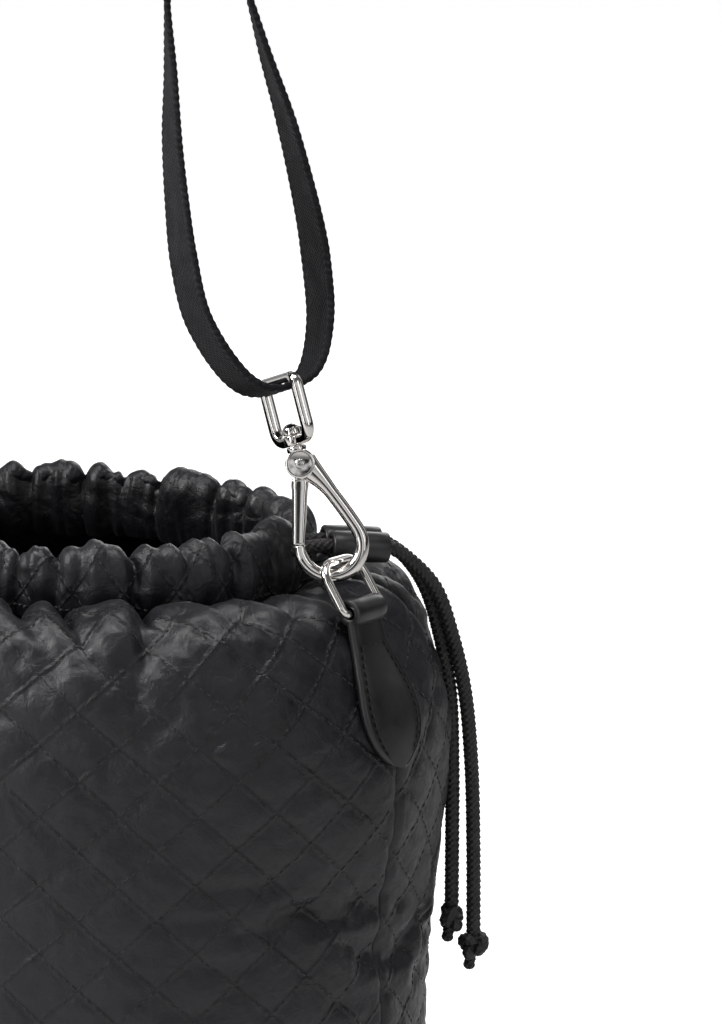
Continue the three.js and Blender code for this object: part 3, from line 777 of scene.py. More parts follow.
def finer(points, rounds, rows):
    """A smooth grid through a coarse one that closes on itself along its first axis."""
    n, m = points.shape[:2]
    u = np.arange(rounds) * n / rounds
    i = np.floor(u).astype(int)
    wide = sum(w[:, None, None] * points[(i + k - 1) % n] for k, w in enumerate(cubic_weights(u - i)))
    v = np.linspace(0, m - 1, rows)
    j = np.minimum(np.floor(v).astype(int), m - 2)
    padded = np.concatenate([2 * wide[:, :1] - wide[:, 1:2], wide, 2 * wide[:, -1:] - wide[:, -2:-1]], axis=1)
    return sum(w[None, :, None] * padded[:, j + k] for k, w in enumerate(cubic_weights(v - j)))


def settle(start, spare, pinned):
    """The start shape after a cloth simulation in which each thread wants to be longer by its spare share."""
    n, m = start.shape[:2]
    points, faces, coords = grid(start, closed=True, flip=True)
    piece = build("settling_cloth", [(points, faces, coords)], QUILTED)
    group = piece.vertex_groups.new(name="pinned")
    group.add([int(k) for k in np.flatnonzero(pinned.ravel())], 1.0, "REPLACE")
    smooth = piece.vertex_groups.new(name="smooth")
    most = float(spare.max())
    for k, share in enumerate(spare.ravel()):
        smooth.add([k], float(1 - share / most), "REPLACE")
    cloth = piece.modifiers.new("cloth", "CLOTH")
    settings = cloth.settings
    values = {
        "quality": 7, "mass": 0.01, "air_damping": 1,
        "tension_stiffness": 30, "compression_stiffness": 15, "shear_stiffness": 8, "bending_stiffness": 1,
        "tension_damping": 1, "compression_damping": 1, "bending_damping": 1,
        "vertex_group_mass": "pinned", "pin_stiffness": 4,
        "vertex_group_shrink": "smooth", "shrink_min": -most, "shrink_max": 0,
        "use_pressure": True, "uniform_pressure_force": SETTLE_PRESSURE,
    }
    for key, value in values.items():
        setattr(settings, key, value)
    settings.effector_weights.gravity = 0.05
    cloth.collision_settings.use_collision = False
    cloth.collision_settings.use_self_collision = False
    cloth.point_cache.frame_end = SETTLE_FRAMES
    scene = bpy.context.scene
    for number in range(1, SETTLE_FRAMES + 1):
        scene.frame_set(number)
    held = piece.evaluated_get(bpy.context.evaluated_depsgraph_get()).data
    settled = np.empty(len(held.vertices) * 3, np.float32)
    held.vertices.foreach_get("co", settled)
    mesh = piece.data
    bpy.data.objects.remove(piece)
    bpy.data.meshes.remove(mesh)
    scene.frame_set(1)
    return settled.reshape(n, m, 3).astype(float)


# ---- Quilted shell ----

COARSE_ROUND, COARSE_ROWS = 168, 62
FINE_STEP = mm(1.35)
GATHER = 0.25  # share of the cloth's real fullness that the settling threads are given
SETTLE_FRAMES = 40
SETTLE_PRESSURE = 60
TAB_REACH, TAB_DEPTH = mm(30), mm(120)  # how far the tabs hold the cloth still, round the bag and down from its top


def make_profile():
    line = resample(SHELL_PROFILE, mm(0.5))
    run = run_along(line)
    return line, run


PROFILE, PROFILE_RUN = make_profile()
CLOTH_HEIGHT = PROFILE_RUN[-1]


def shell_start():
    """The shell before it settles: the oval profile with a lobe for each puff and a fold that fades below it."""
    t = fractions(COARSE_ROUND)
    s = np.linspace(0, CLOTH_HEIGHT, COARSE_ROWS)[None, :]
    half = np.interp(s, PROFILE_RUN, PROFILE[:, 0])
    z = np.interp(s, PROFILE_RUN, PROFILE[:, 1])
    points = ring_point(t, half, z)
    normals = surface_normals(points)
    down = CLOTH_HEIGHT - s
    lift = mm(4.2) * np.exp(-((down / mm(24)) ** 2)) * (fullness(t - 0.012 * down / mm(40)) - 0.72)
    for at, depth, reach, drift in zip(FOLD_AT, FOLD_DEPTH, FOLD_REACH, FOLD_DRIFT):
        middle = at + drift / ROUND_LENGTH * (down / mm(50)) ** 1.3
        away = ((t - middle + 0.5) % 1 - 0.5) * ROUND_LENGTH
        width = mm(2.6) + 0.13 * down
        side = np.where(away < 0, 0.7, 1.4)
        fade = np.exp(-((down / reach) ** 2)) * (1 - np.exp(-((down + mm(3)) / mm(9))))
        lift = lift - mm(8.5) * depth * fade * np.exp(-np.abs(away / (width * side)) ** 1.15)
        lift = lift + mm(3) * depth * fade * np.exp(-(((away + width * 2.2) / (width * 1.5)) ** 2))
    rest = np.sin(math.pi * np.clip(s / CLOTH_HEIGHT, 0, 1)) ** 0.5
    lift = lift + mm(2.4) * rest * smooth_noise(t, s, mm(95), mm(70), 1)
    lift = lift + mm(0.9) * rest * smooth_noise(t, s, mm(34), mm(26), 2)
    return points + lift[..., None] * normals, t, s


def make_shell_surface():
    """The fine grid of the quilted shell, with its cloth coordinates: fraction round, and distance up."""
    start, t, s = shell_start()
    half = np.interp(s[0], PROFILE_RUN, PROFILE[:, 0])
    spare = GATHER * (np.maximum.accumulate(half) / half - 1)
    pinned = np.zeros(start.shape[:2], bool)
    pinned[:, :2] = pinned[:, -1:] = True
    moved = settle(start, np.broadcast_to(spare, pinned.shape), pinned) - start
    near_tab = np.exp(-((from_side_seam(t) / TAB_REACH) ** 4))
    near_tab = near_tab * np.clip((s - CLOTH_HEIGHT + TAB_DEPTH) / mm(20), 0, 1)
    settled = start + (1 - near_tab[..., None]) * moved
    rounds = 2 * round(ROUND_LENGTH / FINE_STEP / 2)
    rows = round(CLOTH_HEIGHT / FINE_STEP)
    smooth = finer(settled, rounds, rows)
    t = fractions(rounds)
    s = np.linspace(0, CLOTH_HEIGHT, rows)[None, :]
    normals = surface_normals(smooth)
    ease = np.clip(s / mm(6), 0, 1) * np.clip((CLOTH_HEIGHT - s) / mm(8), 0.1, 1)
    lift = puff(t, s, mm(1.1)) * ease + seam_dip(t) - mm(1.8) * np.exp(-(((CLOTH_HEIGHT - s) / mm(5)) ** 2))
    points = smooth + lift[..., None] * normals
    return points, surface_normals(points)


SHELL_POINTS, SHELL_NORMALS = make_shell_surface()


def on_grid(values, t, along):
    """Values of a grid at fractions round it and along it."""
    n, m = values.shape[:2]
    u, v = (t % 1) * n, np.clip(along, 0, 1) * (m - 1)
    i, j = np.floor(u).astype(int), np.minimum(np.floor(v).astype(int), m - 2)
    f, g = (u - i)[:, None], (v - j)[:, None]
    low = values[i % n, j] * (1 - f) + values[(i + 1) % n, j] * f
    high = values[i % n, j + 1] * (1 - f) + values[(i + 1) % n, j + 1] * f
    return low * (1 - g) + high * g


def dashes(starts, ends, normals, radius, bow=0.5):
    """A row of stitches: each is a short thread that dives into the cloth at both ends."""
    along = unit(ends - starts)
    across = unit(np.cross(normals, along))
    up = np.cross(along, across)
    length = np.linalg.norm(ends - starts, axis=1, keepdims=True)
    rings = [(0.12, 0.75), (0.5, 1.0), (0.88, 0.75)]
    corners = [(math.cos(a), math.sin(a)) for a in np.radians([45, 135, 225, 315])]
    columns = [starts - up * radius * 0.6]
    for share, scale in rings:
        centre = starts + along * length * share + up * radius * (scale - 0.5) * 2 * bow
        columns += [centre + radius * scale * (c * across + d * up) for c, d in corners]
    columns.append(ends - up * radius * 0.6)
    points = np.stack(columns, axis=1)
    quads, tips = [], []
    for ring in range(2):
        for j in range(4):
            a, b = 1 + ring * 4 + j, 1 + ring * 4 + (j + 1) % 4
            quads.append([b, a, a + 4, b + 4])
    for j in range(4):
        k = (j + 1) % 4
        tips += [[0, 1 + j, 1 + k], [13, 9 + k, 9 + j]]
    base = np.arange(len(starts))[:, None, None] * points.shape[1]
    faces = [(np.array(quads)[None] + base).reshape(-1, 4), (np.array(tips)[None] + base).reshape(-1, 3)]
    return points.reshape(-1, 3), faces, np.zeros((points.shape[0] * points.shape[1], 2))


def stitches_on(points, normals, starts, ends, radius):
    """Stitches on a grid between pairs of places, which are (fraction round, fraction along)."""
    normal = on_grid(normals, *((starts + ends) / 2).T)
    return dashes(on_grid(points, *starts.T), on_grid(points, *ends.T), normal, radius)


def shell_stitches(t_from, t_to):
    """The quilting stitches between two fractions round the shell."""
    starts, ends = [], []
    rise = CLOTH_HEIGHT / DIAMOND_HEIGHT
    width = ROUND_LENGTH / DIAMONDS_ROUND
    slope = math.hypot(width, DIAMOND_HEIGHT)
    pitch = STITCH_PITCH / slope
    for way in (1, -1):
        first = math.floor(DIAMONDS_ROUND * t_from - rise) - 1
        last = math.ceil(DIAMONDS_ROUND * t_to + rise) + 1
        for number in range(first, last + 1):
            up = np.arange(0, rise, pitch)
            begin = (number - QUILT_SHIFT - way * up) / DIAMONDS_ROUND
            finish = (number - QUILT_SHIFT - way * (up + pitch * STITCH_LENGTH / STITCH_PITCH)) / DIAMONDS_ROUND
            low, high = np.minimum(begin, finish), np.maximum(begin, finish)
            keep = (low > t_from + SEAM_MARGIN) & (high < t_to - SEAM_MARGIN)
            starts.append(np.stack([begin, up / rise], axis=1)[keep])
            ends.append(np.stack([finish, (up + pitch * STITCH_LENGTH / STITCH_PITCH) / rise], axis=1)[keep])
    starts, ends = np.vstack(starts), np.vstack(ends)
    inside = (ends[:, 1] < 1) & (starts[:, 1] > 0.01)
    return stitches_on(SHELL_POINTS, SHELL_NORMALS, starts[inside], ends[inside], THREAD_R)


def make_shell_half(name, t_from, t_to):
    """One panel of the shell, with its edges turned in at the side seams."""
    n = SHELL_POINTS.shape[0]
    rows = SHELL_POINTS.shape[1]
    index = np.arange(round(t_from * n), round(t_to * n) + 1)
    points = SHELL_POINTS[index % n]
    inward = SHELL_NORMALS[index % n]
    first = [points[0] - inward[0] * mm(d) for d in (5, 3, 1.2)]
    last = [points[-1] - inward[-1] * mm(d) for d in (1.2, 3, 5)]
    sheet = np.concatenate([np.stack(first), points, np.stack(last)])
    run = index * ROUND_LENGTH / n
    turned = mm([5, 3, 1.2])
    run = np.concatenate([run[0] - turned, run, run[-1] + turned[::-1]])
    up = np.linspace(0, CLOTH_HEIGHT, rows)
    coords = np.stack(np.meshgrid(run, up, indexing="ij"), axis=-1)
    piece = build(f"quilted_panel_{name}", [grid(sheet, coords, flip=True)], QUILTED)
    finish_piece(piece, "bag", "quilted_cloth", f"shell_{name}")
    stitches = build(f"quilting_stitches_{name}", [shell_stitches(t_from, t_to)], THREAD)
    finish_piece(stitches, "bag", "quilted_cloth")


for half_name, half_ends in HALVES.items():
    make_shell_half(half_name, *half_ends)


# ---- Casing, lining and base ----

CASING_QUILTED = mm([
    (85.2, 263.2), (86.6, 266), (87.6, 270.5), (87.6, 276), (86.6, 281), (84.2, 284.4), (81.4, 285.4), (79, 284),
    (79.3, 281.5), (80.2, 279),
])
CASING_SATIN = mm([(79.4, 284.4), (77.8, 281.6), (76.9, 276), (76.9, 271), (77.8, 266), (79.4, 262.8)])


def casing_surface(section, inside):
    """A gathered wall of the casing over its section: lobes between folds, with small pleats."""
    line = spline(section, mm(0.9))
    run = run_along(line)
    rounds = 2 * round(ROUND_LENGTH / mm(1.1) / 2)
    t = fractions(rounds)
    s = run[None, :]
    points = ring_point(t, line[None, :, 0], line[None, :, 1])
    normals = surface_normals(points)
    drift = t + mm(1.2) / ROUND_LENGTH * np.sin(s / mm(6) + 9 * t)
    full = fullness(drift)
    rise = np.clip((line[None, :, 1] - mm(264)) / mm(20), 0, 1)
    lobe = (full - 0.74) * (mm(3) + mm(4.8) * rise ** 2)
    pleat = smooth_noise(drift, s * 0 + mm(3), mm(7), mm(60), 11) * mm(1.15)
    pleat = pleat + smooth_noise(drift, s, mm(3.6), mm(22), 12) * mm(0.6)
    wave_up = smooth_noise(t, s * 0, mm(60), mm(60), 13) * mm(1.6) * rise
    lift = lobe + pleat * np.clip(run[-1] - s + mm(4), 0, mm(4)) / mm(4)
    if not inside:
        lift = lift + puff(t, s + CLOTH_HEIGHT, mm(1.1)) - mm(0.6)
    points = points + lift[..., None] * normals
    points[..., 2] += wave_up
    coords = paired(t * ROUND_LENGTH, s + CLOTH_HEIGHT)
    return points, surface_normals(points), coords


def half_of(values, t_from, t_to):
    n = len(values)
    return values[np.arange(round(t_from * n), round(t_to * n) + 1) % n]


CASING_POINTS, CASING_NORMALS, CASING_COORDS = casing_surface(CASING_QUILTED, False)
INNER_POINTS, _, INNER_COORDS = casing_surface(CASING_SATIN, True)


def ring_stitches(points, normals, t_from, t_to, share, radius):
    """A row of stitches round the bag at one height of a surface."""
    count = round((t_to - t_from) * ROUND_LENGTH / STITCH_PITCH)
    begin = t_from + (np.arange(count) + 0.1) / count * (t_to - t_from)
    finish = begin + STITCH_LENGTH / ROUND_LENGTH
    return stitches_on(points, normals, paired(begin, share), paired(finish, share), radius)


def casing_stitches(t_from, t_to):
    """The quilting stitches that run on over the casing, and the row that closes its foot."""
    height = mm(24)
    up = np.arange(0, height / DIAMOND_HEIGHT, STITCH_PITCH / DIAMOND_SIDE)
    starts, ends = [], []
    for way in (1, -1):
        rise = CLOTH_HEIGHT / DIAMOND_HEIGHT
        for number in range(-60, 61):
            shift = number - QUILT_SHIFT - way * (rise + up)
            begin = shift / DIAMONDS_ROUND
            finish = (shift - way * STITCH_LENGTH / DIAMOND_SIDE) / DIAMONDS_ROUND
            keep = (np.minimum(begin, finish) > t_from) & (np.maximum(begin, finish) < t_to)
            starts.append(np.stack([begin, up * DIAMOND_HEIGHT], axis=1)[keep])
            ends.append(np.stack([finish, (up + STITCH_LENGTH / DIAMOND_SIDE) * DIAMOND_HEIGHT], axis=1)[keep])
    total = [1, CASING_COORDS[0, -1, 1] - CLOTH_HEIGHT]
    starts, ends = np.vstack(starts) / total, np.vstack(ends) / total
    quilting = stitches_on(CASING_POINTS, CASING_NORMALS, starts, ends, THREAD_R)
    return [quilting, ring_stitches(CASING_POINTS, CASING_NORMALS, t_from, t_to, 0.135, mm(0.4))]


def make_casing_half(name, t_from, t_to):
    outer = grid(half_of(CASING_POINTS, t_from, t_to), half_of(CASING_COORDS, t_from, t_to), flip=True)
    piece = build(f"casing_quilted_{name}", [outer], QUILTED)
    finish_piece(piece, "bag", "quilted_cloth", f"casing_{name}")
    stitches = build(f"casing_stitches_{name}", casing_stitches(t_from, t_to), THREAD)
    finish_piece(stitches, "bag", "quilted_cloth")
    inner = grid(half_of(INNER_POINTS, t_from, t_to), half_of(INNER_COORDS, t_from, t_to), flip=True)
    finish_piece(build(f"casing_satin_{name}", [inner], SATIN), "bag", "lining_satin")


for half_name, half_ends in HALVES.items():
    make_casing_half(half_name, *half_ends)


def make_lining():
    """The satin lining: a floor, a loose wall with soft vertical folds, and a shoulder that meets the casing."""
    wall = mm([
        (0, 8.2), (60, 8), (104, 8.2), (112, 11), (117, 19), (121, 50), (123, 92), (124, 134), (125.5, 175),
        (127.5, 203), (127.6, 219), (126, 230), (122.6, 240), (116, 253), (110, 259), (98, 262.3), (86, 262),
        (79.2, 264.2),
    ])
    line = spline(wall, mm(3))
    line[0, 0] = mm(0.01)
    run = run_along(line)
    t = fractions(260)
    s = run[None, :]
    points = ring_point(t, line[None, :, 0], line[None, :, 1])
    on_wall = np.clip((s - mm(115)) / mm(60), 0, 1) * np.clip((run[-1] - s) / mm(20), 0, 1)
    fold = smooth_noise(t, s, mm(26), mm(120), 21) - 1 + 0.5 * smooth_noise(t, s, mm(11), mm(45), 22)
    lift = mm(1.5) * on_wall * fold
    centre = ring_point(t, np.ones((1, 1)), 0) * [1, 1, 0]
    points = points + lift[..., None] * unit(centre)
    coords = paired(t * ROUND_LENGTH, s)
    piece = build("lining_satin_bag", [grid(points, coords, closed=True)], SATIN)
    finish_piece(piece, "bag", "lining_satin", "lining")


make_lining()


def make_base():
    """The quilted base, a flat oval pad whose edge turns up into the shell."""
    edge = mm([(0.2, 0.5), (60, 0.5), (106, 0.5), (111.5, 1), (115.2, 3), (116.3, 5.2)])
    line = resample(edge, mm(1.5))
    t = fractions(440)
    under = ring_point(t, line[None, :, 0], line[None, :, 1])
    one, two = quilt_lines(under[..., 0] / ROUND_LENGTH, under[..., 1])
    dome = np.abs(np.sin(math.pi * one) * np.sin(math.pi * two)) ** 0.5
    flat = np.clip((mm(112) - line[None, :, 0]) / mm(6), 0, 1)
    under[..., 2] += flat * (mm(1.2) - mm(1.6) * dome) + (1 - flat) * mm(0.3)
    under[..., 2] = np.maximum(under[..., 2], 0.0)
    over = ring_point(t, line[None, ::-1, 0] - mm(0.3), mm(5.2) + 0 * line[None, ::-1, 1])
    points = np.concatenate([under, over], axis=1)
    piece = build("base_quilted", [grid(points, points[..., :2], closed=True, flip=True)], QUILTED)
    finish_piece(piece, "bag", "quilted_cloth", "base_panel")


make_base()


def make_drawcord():
    """The drawcord inside the casing, as far as its two exits."""
    t = np.linspace(math.radians(15), math.radians(361), 300)
    line = np.stack([
        CASING_MIDDLE * np.cos(t), CASING_MIDDLE * OVAL * np.sin(t), np.full(len(t), CHANNEL_Z)
    ], axis=1)
    line[[0, -1], 2] += mm(0.6)
    piece = build("drawcord_inside", [sweep(line, CORD_R * 0.97, sides=20, end=FLAT_END)], CORD_CLOTH)
    finish_piece(piece, "bag", "braided_cord", "drawcord_loop")


make_drawcord()


# ---- Cord lock ----


def make_lock():
    """Two leather barrels side by side, wrapped from one strip and stitched between the barrels."""
    wall = LOCK_R - LOCK_BORE_R
    parts = []
    axes = np.stack([LOCK_SIDE, LOCK_UP, LOCK_AXIS], axis=1)
    half = LOCK_LENGTH / 2
    swell = [(-half * 0.5, mm(0.06)), (0, mm(0.1)), (half * 0.5, mm(0.06))]
    section = ring_section(LOCK_BORE_R, LOCK_R, half, mm(0.7), swell)
    for side in (-1, 1):
        points = revolved(section, 64) + [side * LOCK_R, 0, 0]
        parts.append(placed(grid(points, around=True, closed=True), axes, LOCK_CENTRE))
    bridge = np.array([[0, 0, -half + mm(0.5)], [0, 0, half - mm(0.5)]])
    web = sweep(resample(bridge, mm(1)), mm(2.4), mm(2.2), sides=24, square=3, normal=[1, 0, 0], end=FLAT_END)
    parts.append(placed(web, axes, LOCK_CENTRE))
    piece = build("cord_lock_leather", parts, LEATHER, sharp=50)
    finish_piece(piece, "cord_lock", "leather", "cord_lock")
    at = np.arange(-half + mm(2), half - mm(3), mm(2.9))
    rows = []
    for face in (1, -1):
        y = face * (wall + mm(0.25))
        starts = np.stack([at * 0, at * 0 + y, at], axis=1)
        ends = starts + [0, 0, mm(2.1)]
        normals = np.tile([0, face, 0], (len(at), 1)).astype(float)
        rows.append(placed(dashes(starts, ends, normals, mm(0.28)), axes, LOCK_CENTRE))
    finish_piece(build("cord_lock_stitches", rows, THREAD), "cord_lock", "leather")


make_lock()


# ---- Leather tabs and D-rings ----

TAB_HALF_WIDTHS = mm([
    (0, 7.5), (9, 8.3), (18, 11), (27, 13.4), (33, 13.7), (39, 12), (43.5, 8.6), (46.5, 4.8), (48, 1.6),
])
TAB_LOOP_WIDTH = mm(15)
TAB_LIFT = mm(0.7)
TAB_BOW_R = mm(95)
RING_CLEARANCE = mm(0.4)
TAB_CROSS_ROW = mm(8.5)


def tab_line():
    """The line down the tab's middle and its outward direction."""
    side = [(x, z) for x, z in SHELL_PROFILE if mm(200) < z < mm(256)][::-1]
    flat = np.array([(mm(119.8), mm(263.4)), *side])
    line = spline(np.stack([flat[:, 0], flat[:, 0] * 0, flat[:, 1]], axis=1), mm(0.4))
    tangent = unit(np.gradient(line, axis=0))
    out = np.stack([-tangent[:, 2], tangent[:, 1], tangent[:, 0]], axis=1)
    run = run_along(line)
    return line, out, run


def tab_point(across, down, lift):
    """A point on the tab: across it, down it and above its underside."""
    line, out, run = tab_line()
    base, normal = read_off(down, run, line), read_off(down, run, out)
    height = TAB_LIFT + lift - across ** 2 / (2 * TAB_BOW_R)
    points = base + np.asarray(height)[..., None] * normal
    points[..., 1] = across
    return points, normal


def tab_half_width(down):
    smooth = spline(TAB_HALF_WIDTHS, mm(0.3))
    return np.interp(down, smooth[:, 0], smooth[:, 1])


def make_tab_patches():
    """The leather leaf with bevelled, edge-painted sides, and the loop that holds the ring's bar."""
    edge = mm(1.1)
    count = 140
    end = TAB_HALF_WIDTHS[-1, 0]
    down = end * (1 - (1 - np.linspace(0, 1, count)) ** 1.6)
    half = tab_half_width(down)
    section = [
        (-1, 0.0, 0.0), (-0.5, 0.0, 0.0), (0, 0.0, 0.0), (0.5, 0.0, 0.0), (1, 0.0, 0.0),
        (1, edge * 0.35, 0.18), (1, edge * 0.42, 0.5), (1, edge * 0.2, 0.82), (1, -edge * 0.35, 0.97),
        (1, -edge * 0.9, 0.99), (1, -edge * 1.3, 0.9),
        (0.55, 0, 0.93), (0.2, 0, 0.95), (-0.2, 0, 0.95), (-0.55, 0, 0.93),
        (-1, edge * 1.3, 0.9), (-1, edge * 0.9, 0.99), (-1, edge * 0.35, 0.97), (-1, -edge * 0.2, 0.82),
        (-1, -edge * 0.42, 0.5), (-1, -edge * 0.35, 0.18),
    ]
    share, shift, lift = (np.array(column) for column in zip(*section))
    shrink = np.clip(half / mm(4), 0, 1)[:, None]
    across = share[None] * half[:, None] + shift[None] * shrink
    points, _ = tab_point(across, np.broadcast_to(down[:, None], across.shape), lift[None] * TAB_T)
    coords = paired(across, down[:, None])
    leaf = capped(grid(points, coords, around=True), len(section))
    inner = RING_WIRE_R + RING_CLEARANCE
    w = TAB_LOOP_WIDTH / 2
    ring = ring_section(inner, inner + TAB_T - mm(0.2), w, mm(0.6), [(-w / 2, mm(0.05)), (w / 2, mm(0.05))])
    loop_points = revolved(ring, 48)[..., [0, 2, 1]] + RING_BAR
    loop = grid(loop_points, around=True, closed=True, flip=True)
    return [leaf, loop]


def make_tab_stitches():
    """Stitches inset along both sides and across the leaf under its loop."""
    inset = mm(2.6)
    surface = TAB_T * 0.95
    end = TAB_HALF_WIDTHS[-1, 0] - mm(4.2)
    down = np.linspace(TAB_CROSS_ROW, end, 400)
    half = np.maximum(tab_half_width(down) - inset, 0)
    rows = [tab_point(side * half, down, surface) for side in (-1, 1)]
    across = np.linspace(-1, 1, 60) * (tab_half_width(TAB_CROSS_ROW) - inset)
    rows.append(tab_point(across, np.full(60, TAB_CROSS_ROW), surface))
    patches = []
    for points, normals in rows:
        run = run_along(points)
        begin = np.arange(0, run[-1] - mm(1.8), mm(2.7))
        finish = read_off(begin + mm(1.9), run, points)
        patches.append(dashes(read_off(begin, run, points), finish, unit(read_off(begin, run, normals)), mm(0.3)))
    return patches


def make_ring_patches():
    """The D-ring: one wire bent round its bar, its two sides and its round-cornered top."""
    half, top, corner, heel = mm(9.6), mm(17.5), mm(6), mm(1.9)
    flat = rounded_frame(half, 0, top, heel, corner, 6, 10)
    line = joined_up(np.stack([flat[:, 0] * 0, flat[:, 0], flat[:, 1]], axis=1), mm(0.8))
    c, s = math.cos(RING_LEAN), math.sin(RING_LEAN)
    lean = np.array([[c, 0, -s], [0, 1, 0], [s, 0, c]])
    return [placed(sweep(line, RING_WIRE_R, sides=20, normal=[1, 0, 0], closed=True), lean, RING_BAR)]


# ---- Snap hook ----

HOOK_WIRE_R = mm(2.2)
BOSS_R = mm(4.7)
BOSS_T = mm(5.6)
GATE_LENGTH = mm(25.3)
GATE_ANGLE = math.radians(-105.7)
EYE_HALF_WIDTH = mm(13)
EYE_T0 = mm(6.1)
EYE_T1 = mm(28.7)
EYE_WIRE = mm(3)


def hook_axes(turn):
    """The hook's spine, swivel and facing directions, as columns, for a turn about the swivel axis."""
    along = np.array([-math.sin(HOOK_LEAN), 0, math.cos(HOOK_LEAN)])
    out = np.array([math.cos(HOOK_LEAN), 0, math.sin(HOOK_LEAN)])
    facing = out * math.cos(turn) + np.cross(along, out) * math.sin(turn)
    return np.stack([np.cross(along, facing), along, facing], axis=1)


def in_plane(points):
    """Points of the hook's own plane as points in space."""
    return np.pad(np.array(points, float), ((0, 0), (0, 1)))


def upright(patch):
    """A lathe turned so that its axis is the swivel axis."""
    points, faces, uv = patch
    return points[:, [1, 2, 0]], faces, uv


def make_hook_body():
    """The hook's wire, its flattened head, the boss with its gate slot, and the swivel collar."""
    bend = arc(mm([2.9, -27.1]), mm(9.8), 168, 375, 24)
    line = spline(in_plane([*bend, *mm([(8.6, -14.5), (5.4, -7.4), (1.2, -0.5)])]), mm(0.6))
    share = np.linspace(0, 1, len(line))
    head = np.clip((share - 0.8) / 0.2, 0, 1) ** 1.5
    nose = np.clip(share / 0.07, 0, 1)
    width = HOOK_WIRE_R * (0.86 + 0.14 * nose) + mm(2.2) * head
    depth = HOOK_WIRE_R * (0.86 + 0.14 * nose) + mm(0.4) * head
    wire = sweep(line, depth, width, sides=28, square=2.1, normal=[0, 0, 1], fixed=True, end=FLAT_END)
    cheek = mm(1.35)
    parts = [wire]
    for low in (-BOSS_T / 2, BOSS_T / 2 - cheek):
        face, inner_face = (low, low + cheek) if low < 0 else (low + cheek, low)
        into = mm(1) if low < 0 else -mm(1)
        profile = [(0, 0.15), (3.3, 0.15), (3.6, 0.02), (3.9, 0), (4.35, 0.03), (4.65, 0.25), (4.7, 0.6)]
        profile = [(mm(r), face + depth * into) for r, depth in profile] + [(BOSS_R, inner_face), (0, inner_face)]
        parts.append(lathe(profile if low < 0 else profile[::-1], 48))
    turn = np.radians(np.linspace(-52, 230, 40))
    inner, outer, reach = mm(3.95), BOSS_R - mm(0.15), BOSS_T / 2 - cheek + mm(0.1)
    corners = [(inner, -reach), (outer, -reach), (outer, reach), (inner, reach)]
    sector = np.stack([
        np.stack([r * np.cos(turn), r * np.sin(turn), np.full(len(turn), z)], axis=-1) for r, z in corners
    ], axis=1)
    parts.append(capped(grid(sector, around=True), len(corners)))
    parts.append(upright(lathe(rounded(mm(3.1), mm(3.9), mm(5.7), mm(0.4)), 40)))
    parts.append(upright(lathe([(0, mm(2)), (mm(2.4), mm(2)), (mm(2.5), mm(4.4)), (0, mm(4.4))], 32)))
    return parts


def make_gate():
    """The gate: a tongue round the rivet, and a tapered bar that closes on the hook's nose."""
    direction = np.array([math.cos(GATE_ANGLE), math.sin(GATE_ANGLE), 0])
    at = np.linspace(mm(5.1), GATE_LENGTH, 40)
    share = (at - at[0]) / (at[-1] - at[0])
    line = at[:, None] * direction
    bulge = mm(0.18) * np.sin(math.pi * np.clip(share * 6, 0, 1))
    width = mm(2.6) - mm(0.6) * share + bulge
    bar = sweep(line, mm(1.9), width, sides=28, square=3.2, normal=[0, 0, 1], fixed=True, end=FLAT_END)
    neck = np.array([mm(1.5), mm(4), mm(6.2)])[:, None] * direction
    tongue = sweep(resample(neck, mm(0.6)), mm(1.15), mm(1.7), sides=20, square=4, normal=[0, 0, 1], fixed=True,
                   end=FLAT_END)
    disc = lathe(rounded(mm(3.6), -mm(1.15), mm(1.15), mm(0.25)), 40)
    return [bar, tongue, disc]


def make_rivet():
    """The gate's rivet, with a domed and faceted head on each face."""
    h = BOSS_T / 2
    dome = [
        (0, -h - mm(0.55)), (mm(0.8), -h - mm(0.5)), (mm(1.35), -h - mm(0.3)), (mm(1.65), -h), (mm(1.6), -h + mm(0.3)),
    ]
    return [lathe([*dome, *[(r, -z) for r, z in dome[::-1]]], 32)]


def make_stud():
    """The swivel stud: a turned shank through the eye's lower bar with a rounded head above it."""
    profile = mm([
        (0, 5.4), (1.9, 5.4), (1.9, 9.4), (2.6, 9.4), (3.0, 9.7), (3.0, 11.2), (2.6, 12.0), (1.8, 12.6), (0.9, 12.9),
        (0, 13.0),
    ])
    return [upright(lathe(profile, 40))]


def make_eye():
    """The swivel eye: a cast frame with a thick foot, tapering legs and a straight top bar."""
    half, round_top, round_low = EYE_HALF_WIDTH, mm(3), mm(4.6)
    t0, t1 = EYE_T0 + EYE_WIRE / 2, EYE_T1 - EYE_WIRE / 2
    line = joined_up(in_plane(rounded_frame(half, t0, t1, round_low, round_top)), mm(0.7))
    low = np.clip((mm(15) - line[:, 1]) / mm(8), 0, 1)
    leg = np.clip(np.abs(line[:, 0]) / half * 5 - 3.8, 0, 1)
    thick = EYE_WIRE / 2 + mm(0.25) * low + mm(0.4) * leg
    frame_part = sweep(line, EYE_WIRE / 2 + mm(0.35) * leg, thick, sides=28, square=2.9, normal=[0, 0, 1], closed=True)
    collar = upright(lathe(rounded(mm(3.3), EYE_T0 - mm(0.2), EYE_T0 + EYE_WIRE + mm(0.2), mm(0.5)), 40))
    return [frame_part, collar]


